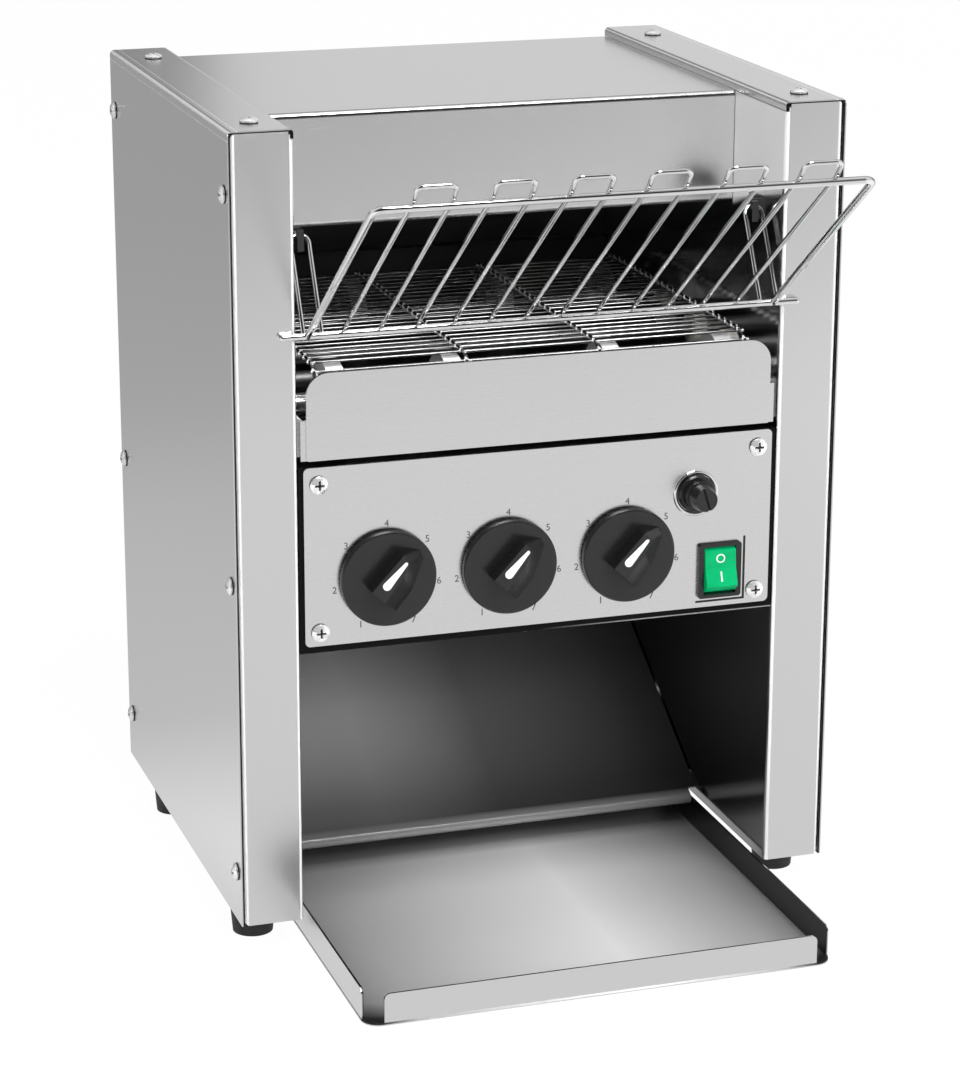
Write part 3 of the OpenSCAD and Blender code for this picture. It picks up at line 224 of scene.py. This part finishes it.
def mixed_grey(tree, where, first, second):
    """A grey between two others, either of them a number or a socket."""
    mix = mix_node(tree)
    for socket, tone in (("A", first), ("B", second)):
        if isinstance(tone, (int, float)):
            mix.inputs[socket].default_value = grey(tone)
        else:
            tree.links.new(tone, mix.inputs[socket])
    tree.links.new(where, mix.inputs["Factor"])
    return mix.outputs["Result"]


def multiplied(tree, first, second):
    """The product of two greys."""
    mix = mix_node(tree, "MULTIPLY")
    mix.inputs["Factor"].default_value = 1
    tree.links.new(first, mix.inputs["A"])
    tree.links.new(second, mix.inputs["B"])
    return mix.outputs["Result"]


def ramped(tree, value, low, high, stops):
    """Greys along a value: each stop is a share of the way from low to high, and its grey."""
    ramp = tree.nodes.new("ShaderNodeValToRGB")
    tones = ramp.color_ramp.elements
    for place, (share, tone) in enumerate(stops):
        if place < 2:
            tones[place].position = share
            tones[place].color = grey(tone)
        else:
            tones.new(share).color = grey(tone)
    tree.links.new(ranged(tree, value, (low, high)), ramp.inputs["Fac"])
    return ramp.outputs["Color"]


# ---- plain finishes ----

def brushed_steel(name, tone, rough, stretch, strength=0.05):
    """Stainless sheet with a very fine grain."""
    mat, tree, bsdf = new_material(name)
    grain = stretched_noise(tree, stretch)
    bsdf.inputs["Metallic"].default_value = 1
    colour = shaded(tree, grain, (tone * 0.985,) * 3, (tone * 1.01,) * 3)
    tree.links.new(colour, bsdf.inputs["Base Color"])
    tree.links.new(spread(tree, grain, rough * 0.93, rough * 1.08), bsdf.inputs["Roughness"])
    ridged(tree, bsdf, grain, strength)
    return mat


def wheel_steel(name):
    """Turned wheels, dull enough to scatter much of the light."""
    mat = brushed_steel(name, 0.86, 0.34, (600, 600, 600), 0.08)
    mat.node_tree.nodes["Principled BSDF"].inputs["Metallic"].default_value = 0.6
    return mat


def polished(name, tone, rough):
    """Bright metal with faint clouds."""
    mat, tree, bsdf = new_material(name)
    cloud = stretched_noise(tree, (60,) * 3)
    bsdf.inputs["Metallic"].default_value = 1
    colour = shaded(tree, cloud, (tone * 0.94,) * 3, (tone * 1.03,) * 3)
    tree.links.new(colour, bsdf.inputs["Base Color"])
    tree.links.new(spread(tree, cloud, rough * 0.7, rough * 1.3), bsdf.inputs["Roughness"])
    return mat


def moulded(name, colour, rough, scale=2200, strength=0.03, gloss=0.5):
    """Plastic, rubber, paint or glaze with a fine texture."""
    mat, tree, bsdf = new_material(name)
    bsdf.inputs["Specular IOR Level"].default_value = gloss
    cloud = stretched_noise(tree, (scale,) * 3)
    dark = tuple(c * 0.9 for c in colour)
    light = tuple(min(1, c * 1.1 + 0.002) for c in colour)
    tree.links.new(shaded(tree, cloud, dark, light), bsdf.inputs["Base Color"])
    tree.links.new(spread(tree, cloud, rough * 0.85, rough * 1.15), bsdf.inputs["Roughness"])
    ridged(tree, bsdf, cloud, strength, 0.00003)
    return mat


def rocker_green(name):
    """Green plastic with a faint painted glow from its emission; no lamp lies behind it."""
    mat, tree, bsdf = new_material(name)
    cloud = stretched_noise(tree, (120,) * 3)
    tone = shaded(tree, cloud, (0.0, 0.26, 0.09), (0.0, 0.34, 0.12))
    tree.links.new(tone, bsdf.inputs["Base Color"])
    bsdf.inputs["Roughness"].default_value = 0.38
    bsdf.inputs["Specular IOR Level"].default_value = 0.14
    # The emission is a painted glow
    bsdf.inputs["Emission Color"].default_value = (0.0, 0.5, 0.16, 1)
    bsdf.inputs["Emission Strength"].default_value = 0.2
    return mat


# ---- finishes that change over a piece, with painted light and shade ----

def wall_steel(name):
    """Satin pillar faces with a painted highlight along each bend, and polished inner walls with a painted
    highlight beside the header and painted shade low down.
    """
    mat, tree, bsdf = new_material(name)
    aside, back, up = paired_places(tree)
    inner_bend, outer_bend, bend_back = 0.1172, 0.1418, 0.0016
    pale_foot, lean = 0.312, 0.33
    inner = band(tree, aside, 0, HALF_MOUTH)
    faces = band(tree, back, FRONT - 0.001, FRONT + bend_back)
    # Painted highlight: each bend is paler and less metallic than the faces
    painted_bend_highlight = either(tree, band(tree, aside, HALF_MOUTH, inner_bend), band(tree, aside, outer_bend, FAR))
    painted_bend_highlight = both(tree, painted_bend_highlight, faces)
    # Painted highlight: the inner walls are white and less metallic above a slanted line, in front of the
    # header
    slanted = worked(tree, "ADD", up, worked(tree, "MULTIPLY", back, lean))
    above = band(tree, slanted, FLOOR + pale_foot + lean * (FRONT + HEADER_BACK), FAR, 0.0015)
    before_header = band(tree, back, -FAR, FRONT + HEADER_BACK - 0.0002)
    beside = both(tree, both(tree, inner, above), before_header)
    # Painted shade: the inner walls are darker low down
    wall_painted_shade = ramped(tree, up, FLOOR + 0.10, FLOOR + 0.16, ((0, 0.34), (1, 0.74)))
    sheet = mixed_grey(tree, inner, 0.80, wall_painted_shade)
    sheet = mixed_grey(tree, beside, sheet, 1.0)
    tree.links.new(mixed_grey(tree, painted_bend_highlight, sheet, 0.90), bsdf.inputs["Base Color"])
    varied(tree, bsdf, "Roughness", inner, 0.24, 0.14)
    varied(tree, bsdf, "Metallic", either(tree, painted_bend_highlight, beside), 1.0, 0.2)
    ridged(tree, bsdf, stretched_noise(tree, UPRIGHT_GRAIN), 0.04)
    return mat


def cover_steel(name):
    """Side covers: a painted dark front edge, and painted highlights on the top bend and on two fine lines
    along the top.
    """
    mat, tree, bsdf = new_material(name)
    aside, back, up = paired_places(tree)
    top = FLOOR + BODY_H
    # Painted shade: the front edge is near black and dull
    cut = both(tree, band(tree, aside, 0, HALF_W - 0.0006), band(tree, up, 0, top - 0.0006))
    edge = both(tree, cut, band(tree, back, -FAR, FRONT + 0.0007, 0.0001))
    # Painted highlights on the top bend and on two fine lines beside it
    bend = both(tree, band(tree, aside, HALF_W - 0.0015, HALF_W - 0.0001), band(tree, up, top - 0.0020, FAR))
    side_line = both(tree, band(tree, aside, HALF_W - 0.0004, FAR, 0.0001),
                     band(tree, up, top - 0.0045, top - 0.0041, 0.0001))
    top_line = both(tree, band(tree, aside, HALF_W - 0.0047, HALF_W - 0.0043, 0.0001),
                    band(tree, up, top - 0.0005, FAR, 0.0001))
    painted_highlight = either(tree, bend, either(tree, side_line, top_line))
    sheet = mixed_grey(tree, painted_highlight, 0.78, 0.88)
    tree.links.new(mixed_grey(tree, edge, sheet, 0.02), bsdf.inputs["Base Color"])
    varied(tree, bsdf, "Roughness", edge, 0.24, 0.6)
    varied(tree, bsdf, "Metallic", painted_highlight, 1.0, 0.5)
    ridged(tree, bsdf, stretched_noise(tree, UPRIGHT_GRAIN), 0.05)
    return mat


def header_steel(name):
    """Top cover and header, with a painted highlight that makes the header paler towards its right, and a
    painted dark line low in the bend between them.
    """
    mat, tree, bsdf = new_material(name)
    across, back, up = own_places(tree)
    header = band(tree, back, -FAR, FRONT + HEADER_BACK + 0.001)
    # Painted shade: a dark line low in the bend
    line = both(tree, header, band(tree, up, FLOOR + BODY_H - 0.0070, FLOOR + BODY_H - 0.0058))
    # Painted highlight: the header grows paler towards its right
    sheet = mixed_grey(tree, header, 0.76, ramped(tree, across, -0.10, 0.115, ((0, 0.76), (1, 0.87))))
    tree.links.new(mixed_grey(tree, line, sheet, 0.22), bsdf.inputs["Base Color"])
    bsdf.inputs["Roughness"].default_value = 0.24
    bsdf.inputs["Metallic"].default_value = 1
    ridged(tree, bsdf, stretched_noise(tree, CROSS_GRAIN), 0.05)
    return mat


def housing_black(name):
    """Near-black housing, which keeps the gaps round the panel dark as painted shade, with a painted
    highlight line along the right half of its lower front edge.
    """
    mat, tree, bsdf = new_material(name)
    across, back, up = own_places(tree)
    # Painted highlight: a pale line along the lower front edge, on the right half only
    lip = both(tree, band(tree, back, -FAR, FRONT + 0.0024), band(tree, up, FLOOR + 0.1290, FLOOR + 0.1300))
    right = ramped(tree, across, 0.0, 0.05, ((0, 0), (1, 1)))
    line = both(tree, lip, right)
    # Near black, as painted shade for the gaps round the panel
    tree.links.new(mixed_grey(tree, line, 0.004, 0.28), bsdf.inputs["Base Color"])
    bsdf.inputs["Roughness"].default_value = 0.45
    bsdf.inputs["Specular IOR Level"].default_value = 0.1
    return mat


def back_steel(name):
    """Rear panel: satin outside, and darkened by painted shade on its inner face."""
    mat, tree, bsdf = new_material(name)
    back = own_places(tree)[1]
    # Painted shade: the inner face is near black
    oven_face_shade = band(tree, back, -FAR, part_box("rear_panel")[0][1] + 0.0003, 0.0001)
    tree.links.new(mixed_grey(tree, oven_face_shade, 0.76, 0.09), bsdf.inputs["Base Color"])
    varied(tree, bsdf, "Roughness", oven_face_shade, 0.24, 0.45)
    bsdf.inputs["Metallic"].default_value = 1
    ridged(tree, bsdf, stretched_noise(tree, CROSS_GRAIN), 0.04)
    return mat


def tray_steel(name):
    """Tray whose floor has a painted highlight across its middle, painted shade in its open corners and a
    painted shadow under the chute, with painted shade on its inner sides.
    """
    mat, tree, bsdf = new_material(name)
    across, back, up = own_places(tree)
    aside = worked(tree, "ABSOLUTE", across)
    floor_top = band(tree, up, TRAY_FLOOR - 0.0005, TRAY_FLOOR + 0.0005, 0.0001)
    # Painted shade: the inner sides are near black
    inside = both(tree, band(tree, aside, TRAY_INSIDE - 0.0005, TRAY_INSIDE + 0.0005),
                  band(tree, up, TRAY_FLOOR + 0.0005, FAR))
    # Painted highlight across the floor, brightest right of the middle
    pale = ramped(tree, across, -TRAY_HALF, TRAY_HALF,
                  ((0, 0.29), (1, 0.28), (0.12, 0.44), (0.35, 0.70), (0.60, 0.93), (0.85, 0.50)))
    # Painted shade in the open front corners
    flat = tree.nodes.new("ShaderNodeCombineXYZ")
    tree.links.new(aside, flat.inputs["X"])
    tree.links.new(back, flat.inputs["Y"])
    corner = tree.nodes.new("ShaderNodeVectorMath")
    corner.operation = "DISTANCE"
    corner.inputs[1].default_value = (TRAY_HALF, FRONT - TRAY_REACH, 0)
    tree.links.new(flat.outputs["Vector"], corner.inputs[0])
    painted_corner_shade = ramped(tree, corner.outputs["Value"], 0.008, 0.024, ((0, 0.05), (1, 1)))
    # Painted shadow along the back of the floor, under the chute
    painted_chute_shadow = ramped(tree, back, FRONT + 0.082, FRONT + 0.106, ((0, 1), (1, 0.08), (0.5, 0.45)))
    painted_light_and_shade = multiplied(tree, multiplied(tree, pale, painted_corner_shade), painted_chute_shadow)
    tone = mixed_grey(tree, floor_top, 0.80, painted_light_and_shade)
    tree.links.new(mixed_grey(tree, inside, tone, 0.05), bsdf.inputs["Base Color"])
    varied(tree, bsdf, "Metallic", floor_top, 1.0, 0.25)
    varied(tree, bsdf, "Roughness", floor_top, 0.24, 0.42)
    ridged(tree, bsdf, stretched_noise(tree, DEEP_GRAIN), 0.04)
    return mat


def chute_steel(name):
    """Chute with painted light and shade: lighter at its left and higher up, dark at its right and behind the
    belt.
    """
    mat, tree, bsdf = new_material(name)
    across, _, up = own_places(tree)
    lip_top, oven_foot = 0.0195, 0.128
    # Painted light and shade: lighter to the left and higher up the slope
    side = ramped(tree, across, -0.115, 0.115, ((0, 1.0), (1, 0.16), (0.28, 1.0), (0.55, 0.36), (0.85, 0.26)))
    rise = ramped(tree, up, 0.016, 0.125, ((0, 0.06), (0.4, 0.66), (1, 1.0)))
    slope = band(tree, up, lip_top, oven_foot, 0.001)
    # Painted shade behind the belt
    behind = band(tree, up, oven_foot, FAR, 0.01)
    painted_chute_tone = mixed_grey(tree, slope, 0.34, multiplied(tree, side, rise))
    tree.links.new(mixed_grey(tree, behind, painted_chute_tone, 0.05), bsdf.inputs["Base Color"])
    varied(tree, bsdf, "Metallic", slope, 0.5, 0.04)
    varied(tree, bsdf, "Roughness", slope, 0.30, 0.32)
    ridged(tree, bsdf, stretched_noise(tree, DEEP_GRAIN), 0.05)
    return mat


def belt_steel(name):
    """Dull wire, with painted shade on the hooks between the strands and painted highlights in spots on them.
    """
    mat, tree, bsdf = new_material(name)
    aside, back, _ = paired_places(tree)
    columns = either(tree, band(tree, aside, 0.0302, 0.0338), band(tree, aside, 0.1018, 0.1055))
    from_shaft = worked(tree, "SUBTRACT", back, FRONT + FRONT_SHAFT / 1000)
    step = worked(tree, "DIVIDE", from_shaft, PITCH / 1000)
    hooks = band(tree, worked(tree, "FRACT", step), 0.42, 0.70, 0.02)
    # Painted highlights in spots on the hooks, which are otherwise dark with painted shade
    painted_highlight = both(tree, columns, hooks)
    dull = shaded(tree, stretched_noise(tree, (60,) * 3), (0.30,) * 3, (0.36,) * 3)
    painted_dark_legs = mixed_grey(tree, columns, dull, 0.08)
    tree.links.new(mixed_grey(tree, painted_highlight, painted_dark_legs, 1.0), bsdf.inputs["Base Color"])
    varied(tree, bsdf, "Roughness", painted_highlight, 0.20, 0.30)
    varied(tree, bsdf, "Metallic", painted_highlight, 1.0, 0.3)
    return mat


def screw_steel(name, side, seat):
    """Pan heads seated at a place, with painted shade in the floors of their cross-shaped hollows and a
    painted shadow round their feet.
    """
    mat, tree, bsdf = new_material(name)
    across, back, up = own_places(tree)
    away = {"side": worked(tree, "ABSOLUTE", across), "front": back, "top": up}[side]
    outward = -1 if side == "front" else 1
    floor = seat + outward * 0.3 * HEAD_H
    # Painted shadow round each head's foot, and painted shade in its hollow
    foot_shadow = sorted((seat - outward * 0.0001, seat + outward * 0.0005))
    recess_shade = band(tree, away, floor - 0.00005, floor + 0.00005, 0.00003)
    dark = either(tree, recess_shade, band(tree, away, foot_shadow[0], foot_shadow[1], 0.0001))
    tree.links.new(mixed_grey(tree, dark, 0.96, 0.03), bsdf.inputs["Base Color"])
    varied(tree, bsdf, "Roughness", dark, 0.14, 0.6)
    bsdf.inputs["Metallic"].default_value = 0.65
    return mat


# ---- the toaster's finishes ----

COVER = cover_steel("satin_side")
HEADER = header_steel("header_steel")
HOUSING = housing_black("housing_black")
BASE = brushed_steel("satin_top", 0.76, 0.24, CROSS_GRAIN)
PANEL = brushed_steel("satin_panel", 0.82, 0.26, CROSS_GRAIN, 0.015)
BACK = back_steel("back_steel")
TRAY = tray_steel("tray_steel")
CHUTE = chute_steel("chute_steel")
INNER = brushed_steel("inner_steel", 0.08, 0.30, CROSS_GRAIN)
# The reflectors are near black: painted shade
SHADE_DARK = brushed_steel("shade_dark_steel", 0.06, 0.35, CROSS_GRAIN)
BELT = belt_steel("belt_wire")
WHEEL = wheel_steel("wheel_steel")
WALL = wall_steel("wall_steel")
WIRE = polished("bright_wire", 0.86, 0.06)
SHAFT = polished("turned_steel", 0.66, 0.22)
SCREW = polished("screw_steel", 0.84, 0.26)
SIDE_SCREW = screw_steel("side_screw_steel", "side", HALF_W)
TOP_SCREW = screw_steel("top_screw_steel", "top", FLOOR + BODY_H)
PANEL_SCREW = screw_steel("panel_screw_steel", "front", FRONT)
CHAIN = polished("oiled_chain", 0.28, 0.30)
ELEMENT = polished("heated_tube", 0.20, 0.45)
BRONZE = polished("bush_bronze", 0.5, 0.35)
CERAMIC = moulded("glazed_ceramic", (0.82, 0.80, 0.74), 0.35)
BLACK = moulded("black_plastic", (0.011, 0.011, 0.011), 0.24)
MATT = moulded("matt_black", (0.02, 0.02, 0.02), 0.5)
WHITE = moulded("white_plastic", (0.86, 0.86, 0.85), 0.35)
RUBBER = moulded("black_rubber", (0.018, 0.018, 0.018), 0.6, 500, 0.2)
MOTOR = moulded("motor_paint", (0.05, 0.05, 0.055), 0.4)
GREEN = rocker_green("painted_glow_green")
RED = moulded("red_plastic", (0.55, 0.03, 0.02), 0.3)
INK = moulded("grey_ink", (0.10, 0.10, 0.10), 0.5)
LINE_DARK = moulded("dark_line_black", (0.01, 0.01, 0.01), 0.5)

FINISHES = {
    WALL: ["side_frame_left", "side_frame_right"],
    COVER: ["side_cover_left", "side_cover_right"],
    HEADER: ["top_cover"],
    BASE: ["base_plate"],
    HOUSING: ["control_housing"],
    BACK: ["rear_panel"],
    WHEEL: ["front_wheels", "drive_wheels"],
    SHADE_DARK: ["upper_reflector", "lower_reflector"],
    PANEL: ["front_guard", "guard_brackets", "control_panel"],
    TRAY: ["collection_tray"],
    CHUTE: ["toast_chute"],
    INNER: ["rack_hooks", "safety_thermostat"],
    BELT: ["belt_top_run", "belt_rear_bend", "belt_return_run", "belt_front_bend"],
    WIRE: ["loading_rack"],
    SHAFT: ["front_shaft", "drive_shaft", "motor_shaft", "motor_sprocket", "shaft_sprocket",
            "spindle_bottom", "spindle_top", "spindle_speed"],
    SCREW: ["rear_screws", "housing_screws"],
    SIDE_SCREW: ["side_screws"],
    TOP_SCREW: ["top_screws"],
    PANEL_SCREW: ["panel_screws"],
    CHAIN: ["drive_chain"],
    ELEMENT: ["upper_elements", "lower_elements"],
    BRONZE: ["shaft_bushes"],
    CERAMIC: ["element_bushes"],
    BLACK: ["knob_bottom", "knob_top", "knob_speed", "thermostat_cap", "thermostat_collar",
            "switch_housing", "cable_gland"],
    MATT: ["bottom_regulator", "top_regulator", "speed_control"],
    WHITE: ["pointer_bottom", "pointer_top", "pointer_speed", "terminal_block"],
    RUBBER: ["feet"],
    MOTOR: ["gearmotor"],
    GREEN: ["switch_rocker"],
    RED: ["reset_button"],
}


def finish_nodes():
    for material, names in FINISHES.items():
        for name in names:
            piece = nodes[name]
            if not piece.material_slots:
                piece.data.materials.append(material)
            for place in piece.material_slots:
                place.material = material


def clear():
    bpy.ops.object.select_all(action="DESELECT")


# ---- wire belt ----

def on_loop(along, out):
    """A place on the belt's loop: how far along it, and how far outside the wires' middle."""
    half_turn = math.pi * LOOP_R
    reach = LOOP_R + out
    middle = BELT_TOP - LOOP_R
    along %= 2 * (BELT_RUN + half_turn)
    if along < BELT_RUN:
        return FRONT_SHAFT + along, BELT_TOP + out
    if along < BELT_RUN + half_turn:
        turn = (along - BELT_RUN) / LOOP_R
        return FRONT_SHAFT + BELT_RUN + reach * math.sin(turn), middle + reach * math.cos(turn)
    if along < 2 * BELT_RUN + half_turn:
        return FRONT_SHAFT + 2 * BELT_RUN + half_turn - along, middle - LOOP_R - out
    turn = (along - 2 * BELT_RUN - half_turn) / LOOP_R
    return FRONT_SHAFT - reach * math.sin(turn), middle - reach * math.cos(turn)


# One hook of a strand, in millimetres across, along and outward: to its neighbour, round it and back
HOOK = ((-1.9, 0, 0), (-1.1, 0.25, 0.25), (-0.75, 1.0, 0.6), (-0.7, 6.5, 1.1), (-0.5, 7.9, 0.85),
        (0, 8.55, 0), (0.5, 7.9, -0.8), (0.7, 6.5, -1.05), (0.75, 1.0, -0.55), (1.1, 0.25, -0.25),
        (1.9, 0, 0))


def wire_belt():
    """Strands across the belt, each hooked round the next one at four columns."""
    outline = bpy.data.curves.new("wire_belt", "CURVE")
    outline.dimensions = "3D"
    outline.bevel_depth = WIRE_R / 1000
    outline.bevel_resolution = 1
    outline.use_fill_caps = True
    for strand in range(STRANDS):
        start = (strand + 0.5) * PITCH
        route = []
        for column in COLUMNS:
            route += [(column + across, along, out) for across, along, out in HOOK]
        spline = outline.splines.new("POLY")
        spline.points.add(len(route) - 1)
        for point, (across, along, out) in zip(spline.points, route):
            back, up = on_loop(start + along, out)
            point.co = (*at(across, back, up), 1)
    wires = bpy.data.objects.new("wire_belt", outline)
    bpy.context.collection.objects.link(wires)
    clear()
    wires.select_set(True)
    bpy.context.view_layer.objects.active = wires
    bpy.ops.object.convert(target="MESH")
    wires = bpy.context.object
    bpy.ops.object.shade_smooth()
    wires.data.materials.clear()
    wires.data.materials.append(BELT)
    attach(wires, "machine")
    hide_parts("belt_top_run", "belt_rear_bend", "belt_return_run", "belt_front_bend")


# ---- thermostat's ring ----

def thermostat_ring():
    """Thin bright ring round the thermostat's collar, domed and seated on the panel."""
    corners, ring_r = 72, 0.0112
    middle = at(THERMOSTAT_X, 0, THERMOSTAT_Z)
    clear()
    bpy.ops.mesh.primitive_circle_add(vertices=corners, radius=ring_r,
                                      location=at(THERMOSTAT_X, -PRINT_OUT, THERMOSTAT_Z),
                                      rotation=(math.radians(90), 0, 0))
    ring = bpy.context.object
    ring.name = "thermostat_ring"
    bpy.ops.object.transform_apply(location=True, rotation=True, scale=True)
    bpy.ops.object.mode_set(mode="EDIT")
    bpy.ops.mesh.select_mode(type="VERT")
    bpy.context.scene.tool_settings.transform_pivot_point = "MEDIAN_POINT"
    # Each step inwards: its share of the last circle, and how far back it lies
    for share, rise in ((0.972, -0.0005), (0.96, -0.0003), (0.905, 0.0002), (0.97, 0.0006)):
        bpy.ops.mesh.select_all(action="DESELECT")
        mesh = bmesh.from_edit_mesh(ring.data)
        for vert in list(mesh.verts)[-corners:]:
            vert.select = True
        mesh.select_flush(True)
        bmesh.update_edit_mesh(ring.data)
        bpy.ops.mesh.extrude_region_move(TRANSFORM_OT_translate={"value": (0, rise, 0)})
        bpy.ops.transform.resize(value=(share, 1, share), center_override=tuple(middle))
    bpy.ops.mesh.select_all(action="SELECT")
    bpy.ops.mesh.remove_doubles(threshold=0.000001)
    bpy.ops.mesh.normals_make_consistent(inside=False)
    bpy.ops.object.mode_set(mode="OBJECT")
    bpy.ops.object.shade_smooth()
    ring.data.materials.append(WIRE)
    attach(ring, "machine")


# ---- printed numbers and marks, and dark lines ----

# Turns lettering from lying flat to standing on the panel
UPRIGHT = Matrix.Rotation(math.radians(90), 4, "X")


def lettering(name, text, size, place, turn, material, body):
    clear()
    bpy.ops.object.text_add()
    words = bpy.context.object
    words.data.body = text
    words.data.size = size
    words.data.extrude = PRINT_T
    words.data.align_x = "CENTER"
    words.data.align_y = "CENTER"
    bpy.ops.object.convert(target="MESH")
    words = bpy.context.object
    words.name = name
    words.data.transform(Matrix.Translation(place) @ turn)
    words.data.materials.clear()
    words.data.materials.append(material)
    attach(words, body)
    return words


def dial_numbers():
    """1 to 7 round each knob, with 4 at the top."""
    number_size = 0.0046
    for knob, x in DIAL_X.items():
        for number in range(1, 8):
            angle = math.radians((number - 4) * DIAL_STEP)
            place = at(x + DIAL_R * math.sin(angle), -PRINT_OUT, DIAL_Z + DIAL_R * math.cos(angle))
            name = "dial_%s_%d" % (knob, number)
            mark = lettering(name, str(number), number_size, place, UPRIGHT, INK, "machine")


def switch_line(name, x, z):
    """A thin dark line on the panel beside the switch, between two places across and two places up."""
    clear()
    bpy.ops.mesh.primitive_cube_add(size=1, location=(0, 0, 0))
    line = bpy.context.object
    line.name = name
    bpy.ops.object.mode_set(mode="EDIT")
    bpy.ops.mesh.select_all(action="SELECT")
    middle = at((x[0] + x[1]) / 2, -LINE_OUT, (z[0] + z[1]) / 2)
    bpy.ops.transform.resize(value=((x[1] - x[0]) / 1000, PRINT_T, (z[1] - z[0]) / 1000))
    bpy.ops.transform.translate(value=tuple(middle))
    bpy.ops.object.mode_set(mode="OBJECT")
    line.data.materials.append(LINE_DARK)
    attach(line, "machine")


def rocker_marks():
    """O and I, each by its size, its place back and up, and the lean of the face that it lies on."""
    for text, size, back, up, lean in (("O", 0.0060, -2.42, 156.6, -5.9), ("I", 0.0070, -4.12, 148.2, -18.4)):
        turn = Matrix.Rotation(math.radians(lean), 4, "X") @ UPRIGHT
        mark = lettering("rocker_mark_" + text, text, size, at(SWITCH_X, back, up), turn, WHITE, "rocker")


# ---- floor, room and light ----

def floor_tones(tree):
    """What the sheets mirror of the floor: it fades towards the back, and is bright beside the machine."""
    aside, back, _ = paired_places(tree)
    fade = ramped(tree, back, -1.6, 1.6,
                  ((0, 0.52), (1, 0.38), (0.19, 0.84), (0.28, 0.73), (0.48, 0.71), (0.56, 0.60),
                   (0.62, 0.57), (0.70, 0.53), (0.79, 0.42)))
    slanted = worked(tree, "ADD", aside, worked(tree, "MULTIPLY", back, 0.5))
    beside = both(tree, ranged(tree, slanted, (0.13, 0.22)), ranged(tree, back, (0.25, -0.05)))
    return mixed_grey(tree, beside, fade, 1)


def pale_floor():
    """White where it is seen directly, and graded greys where the sheets mirror it."""
    clear()
    bpy.ops.mesh.primitive_plane_add(size=14, location=(0, 0, 0))
    floor = bpy.context.object
    floor.name = "floor"
    mat, tree, bsdf = new_material("pale_floor")
    bsdf.inputs["Base Color"].default_value = grey(0.90)
    bsdf.inputs["Roughness"].default_value = 0.8
    rays = tree.nodes.new("ShaderNodeLightPath")
    bright = tree.nodes.new("ShaderNodeEmission")
    bright.inputs["Strength"].default_value = 1.03
    tone = mixed_grey(tree, rays.outputs["Is Camera Ray"], floor_tones(tree), 1)
    tree.links.new(tone, bright.inputs["Color"])
    shown = either(tree, rays.outputs["Is Camera Ray"], rays.outputs["Is Glossy Ray"])
    # The rest of the floor's tone is its own, and keeps the toaster's shadow
    glow = 0.94
    mixed = tree.nodes.new("ShaderNodeMixShader")
    tree.links.new(worked(tree, "MULTIPLY", shown, glow), mixed.inputs["Fac"])
    tree.links.new(bsdf.outputs["BSDF"], mixed.inputs[1])
    tree.links.new(bright.outputs["Emission"], mixed.inputs[2])
    tree.links.new(mixed.outputs["Shader"], tree.nodes["Material Output"].inputs["Surface"])
    floor.data.materials.append(mat)


def room():
    """White background, soft even light, and a room that polished metal mirrors."""
    world = bpy.data.worlds.new("studio")
    bpy.context.scene.world = world
    world.use_nodes = True
    tree = world.node_tree
    soft = tree.nodes["Background"]
    soft.inputs["Color"].default_value = grey(1)
    soft.inputs["Strength"].default_value = 0.28
    seen = tree.nodes.new("ShaderNodeBackground")
    seen.inputs["Color"].default_value = grey(1)
    seen.inputs["Strength"].default_value = 1
    # One dark part of the room in front, pale walls and a dim back
    facing = tree.nodes.new("ShaderNodeTexCoord")
    ahead = tree.nodes.new("ShaderNodeVectorMath")
    ahead.operation = "DOT_PRODUCT"
    ahead.inputs[1].default_value = (-0.33, -0.90, 0.29)
    tree.links.new(facing.outputs["Generated"], ahead.inputs[0])
    walls = tree.nodes.new("ShaderNodeBackground")
    tones = ramped(tree, ahead.outputs["Value"], -1, 1,
                   ((0, 0.27), (1, 0.03), (0.25, 0.27), (0.5, 0.75), (0.72, 0.70), (0.88, 0.03)))
    tree.links.new(tones, walls.inputs["Color"])
    rays = tree.nodes.new("ShaderNodeLightPath")
    shown = soft.outputs["Background"]
    for ray, other in (("Is Glossy Ray", walls), ("Is Camera Ray", seen)):
        mixed = tree.nodes.new("ShaderNodeMixShader")
        tree.links.new(rays.outputs[ray], mixed.inputs["Fac"])
        tree.links.new(shown, mixed.inputs[1])
        tree.links.new(other.outputs["Background"], mixed.inputs[2])
        shown = mixed.outputs["Shader"]
    tree.links.new(shown, tree.nodes["World Output"].inputs["Surface"])


def lamp(place, aim, size, power, mirrored=True):
    """An area lamp at a place, aimed at another. Metal shows it only where it is mirrored."""
    bpy.ops.object.light_add(type="AREA", location=place)
    light = bpy.context.object
    light.data.shape = "RECTANGLE"
    light.data.size, light.data.size_y = size
    light.data.energy = power
    light.visible_camera = False
    light.visible_glossy = mirrored
    light.rotation_euler = (Vector(aim) - Vector(place)).to_track_quat("-Z", "Y").to_euler()


def lamps():
    """Two in front that metal doesn't show, one above, and two behind."""
    lamp((1.05, -2.0, 1.05), (0.0, -0.1, 0.1), (1.6, 0.8), 27, False)
    lamp((-1.4, -1.6, 1.3), (0.1, -0.1, 0.2), (0.9, 0.9), 11, False)
    lamp((0.1, -1.0, 1.9), (0, -0.15, 0), (0.8, 0.8), 30)
    lamp((1.79, 3.2, 1.3), (0, 0, 0.35), (2.38, 1.6), 5.8)
    lamp((-1.1, 2.9, 1.6), (0, 0, 0.35), (1.2, 0.9), 2.5)


finish_nodes()
wire_belt()
thermostat_ring()
dial_numbers()
switch_line("switch_line_side", (99.9, 101.0), (135.2, 166.2))
switch_line("switch_line_below", (76.4, 99.9), (135.2, 136.2))
rocker_marks()
bpy.context.scene.view_settings.view_transform = "Standard"
camera()
pale_floor()
room()
lamps()
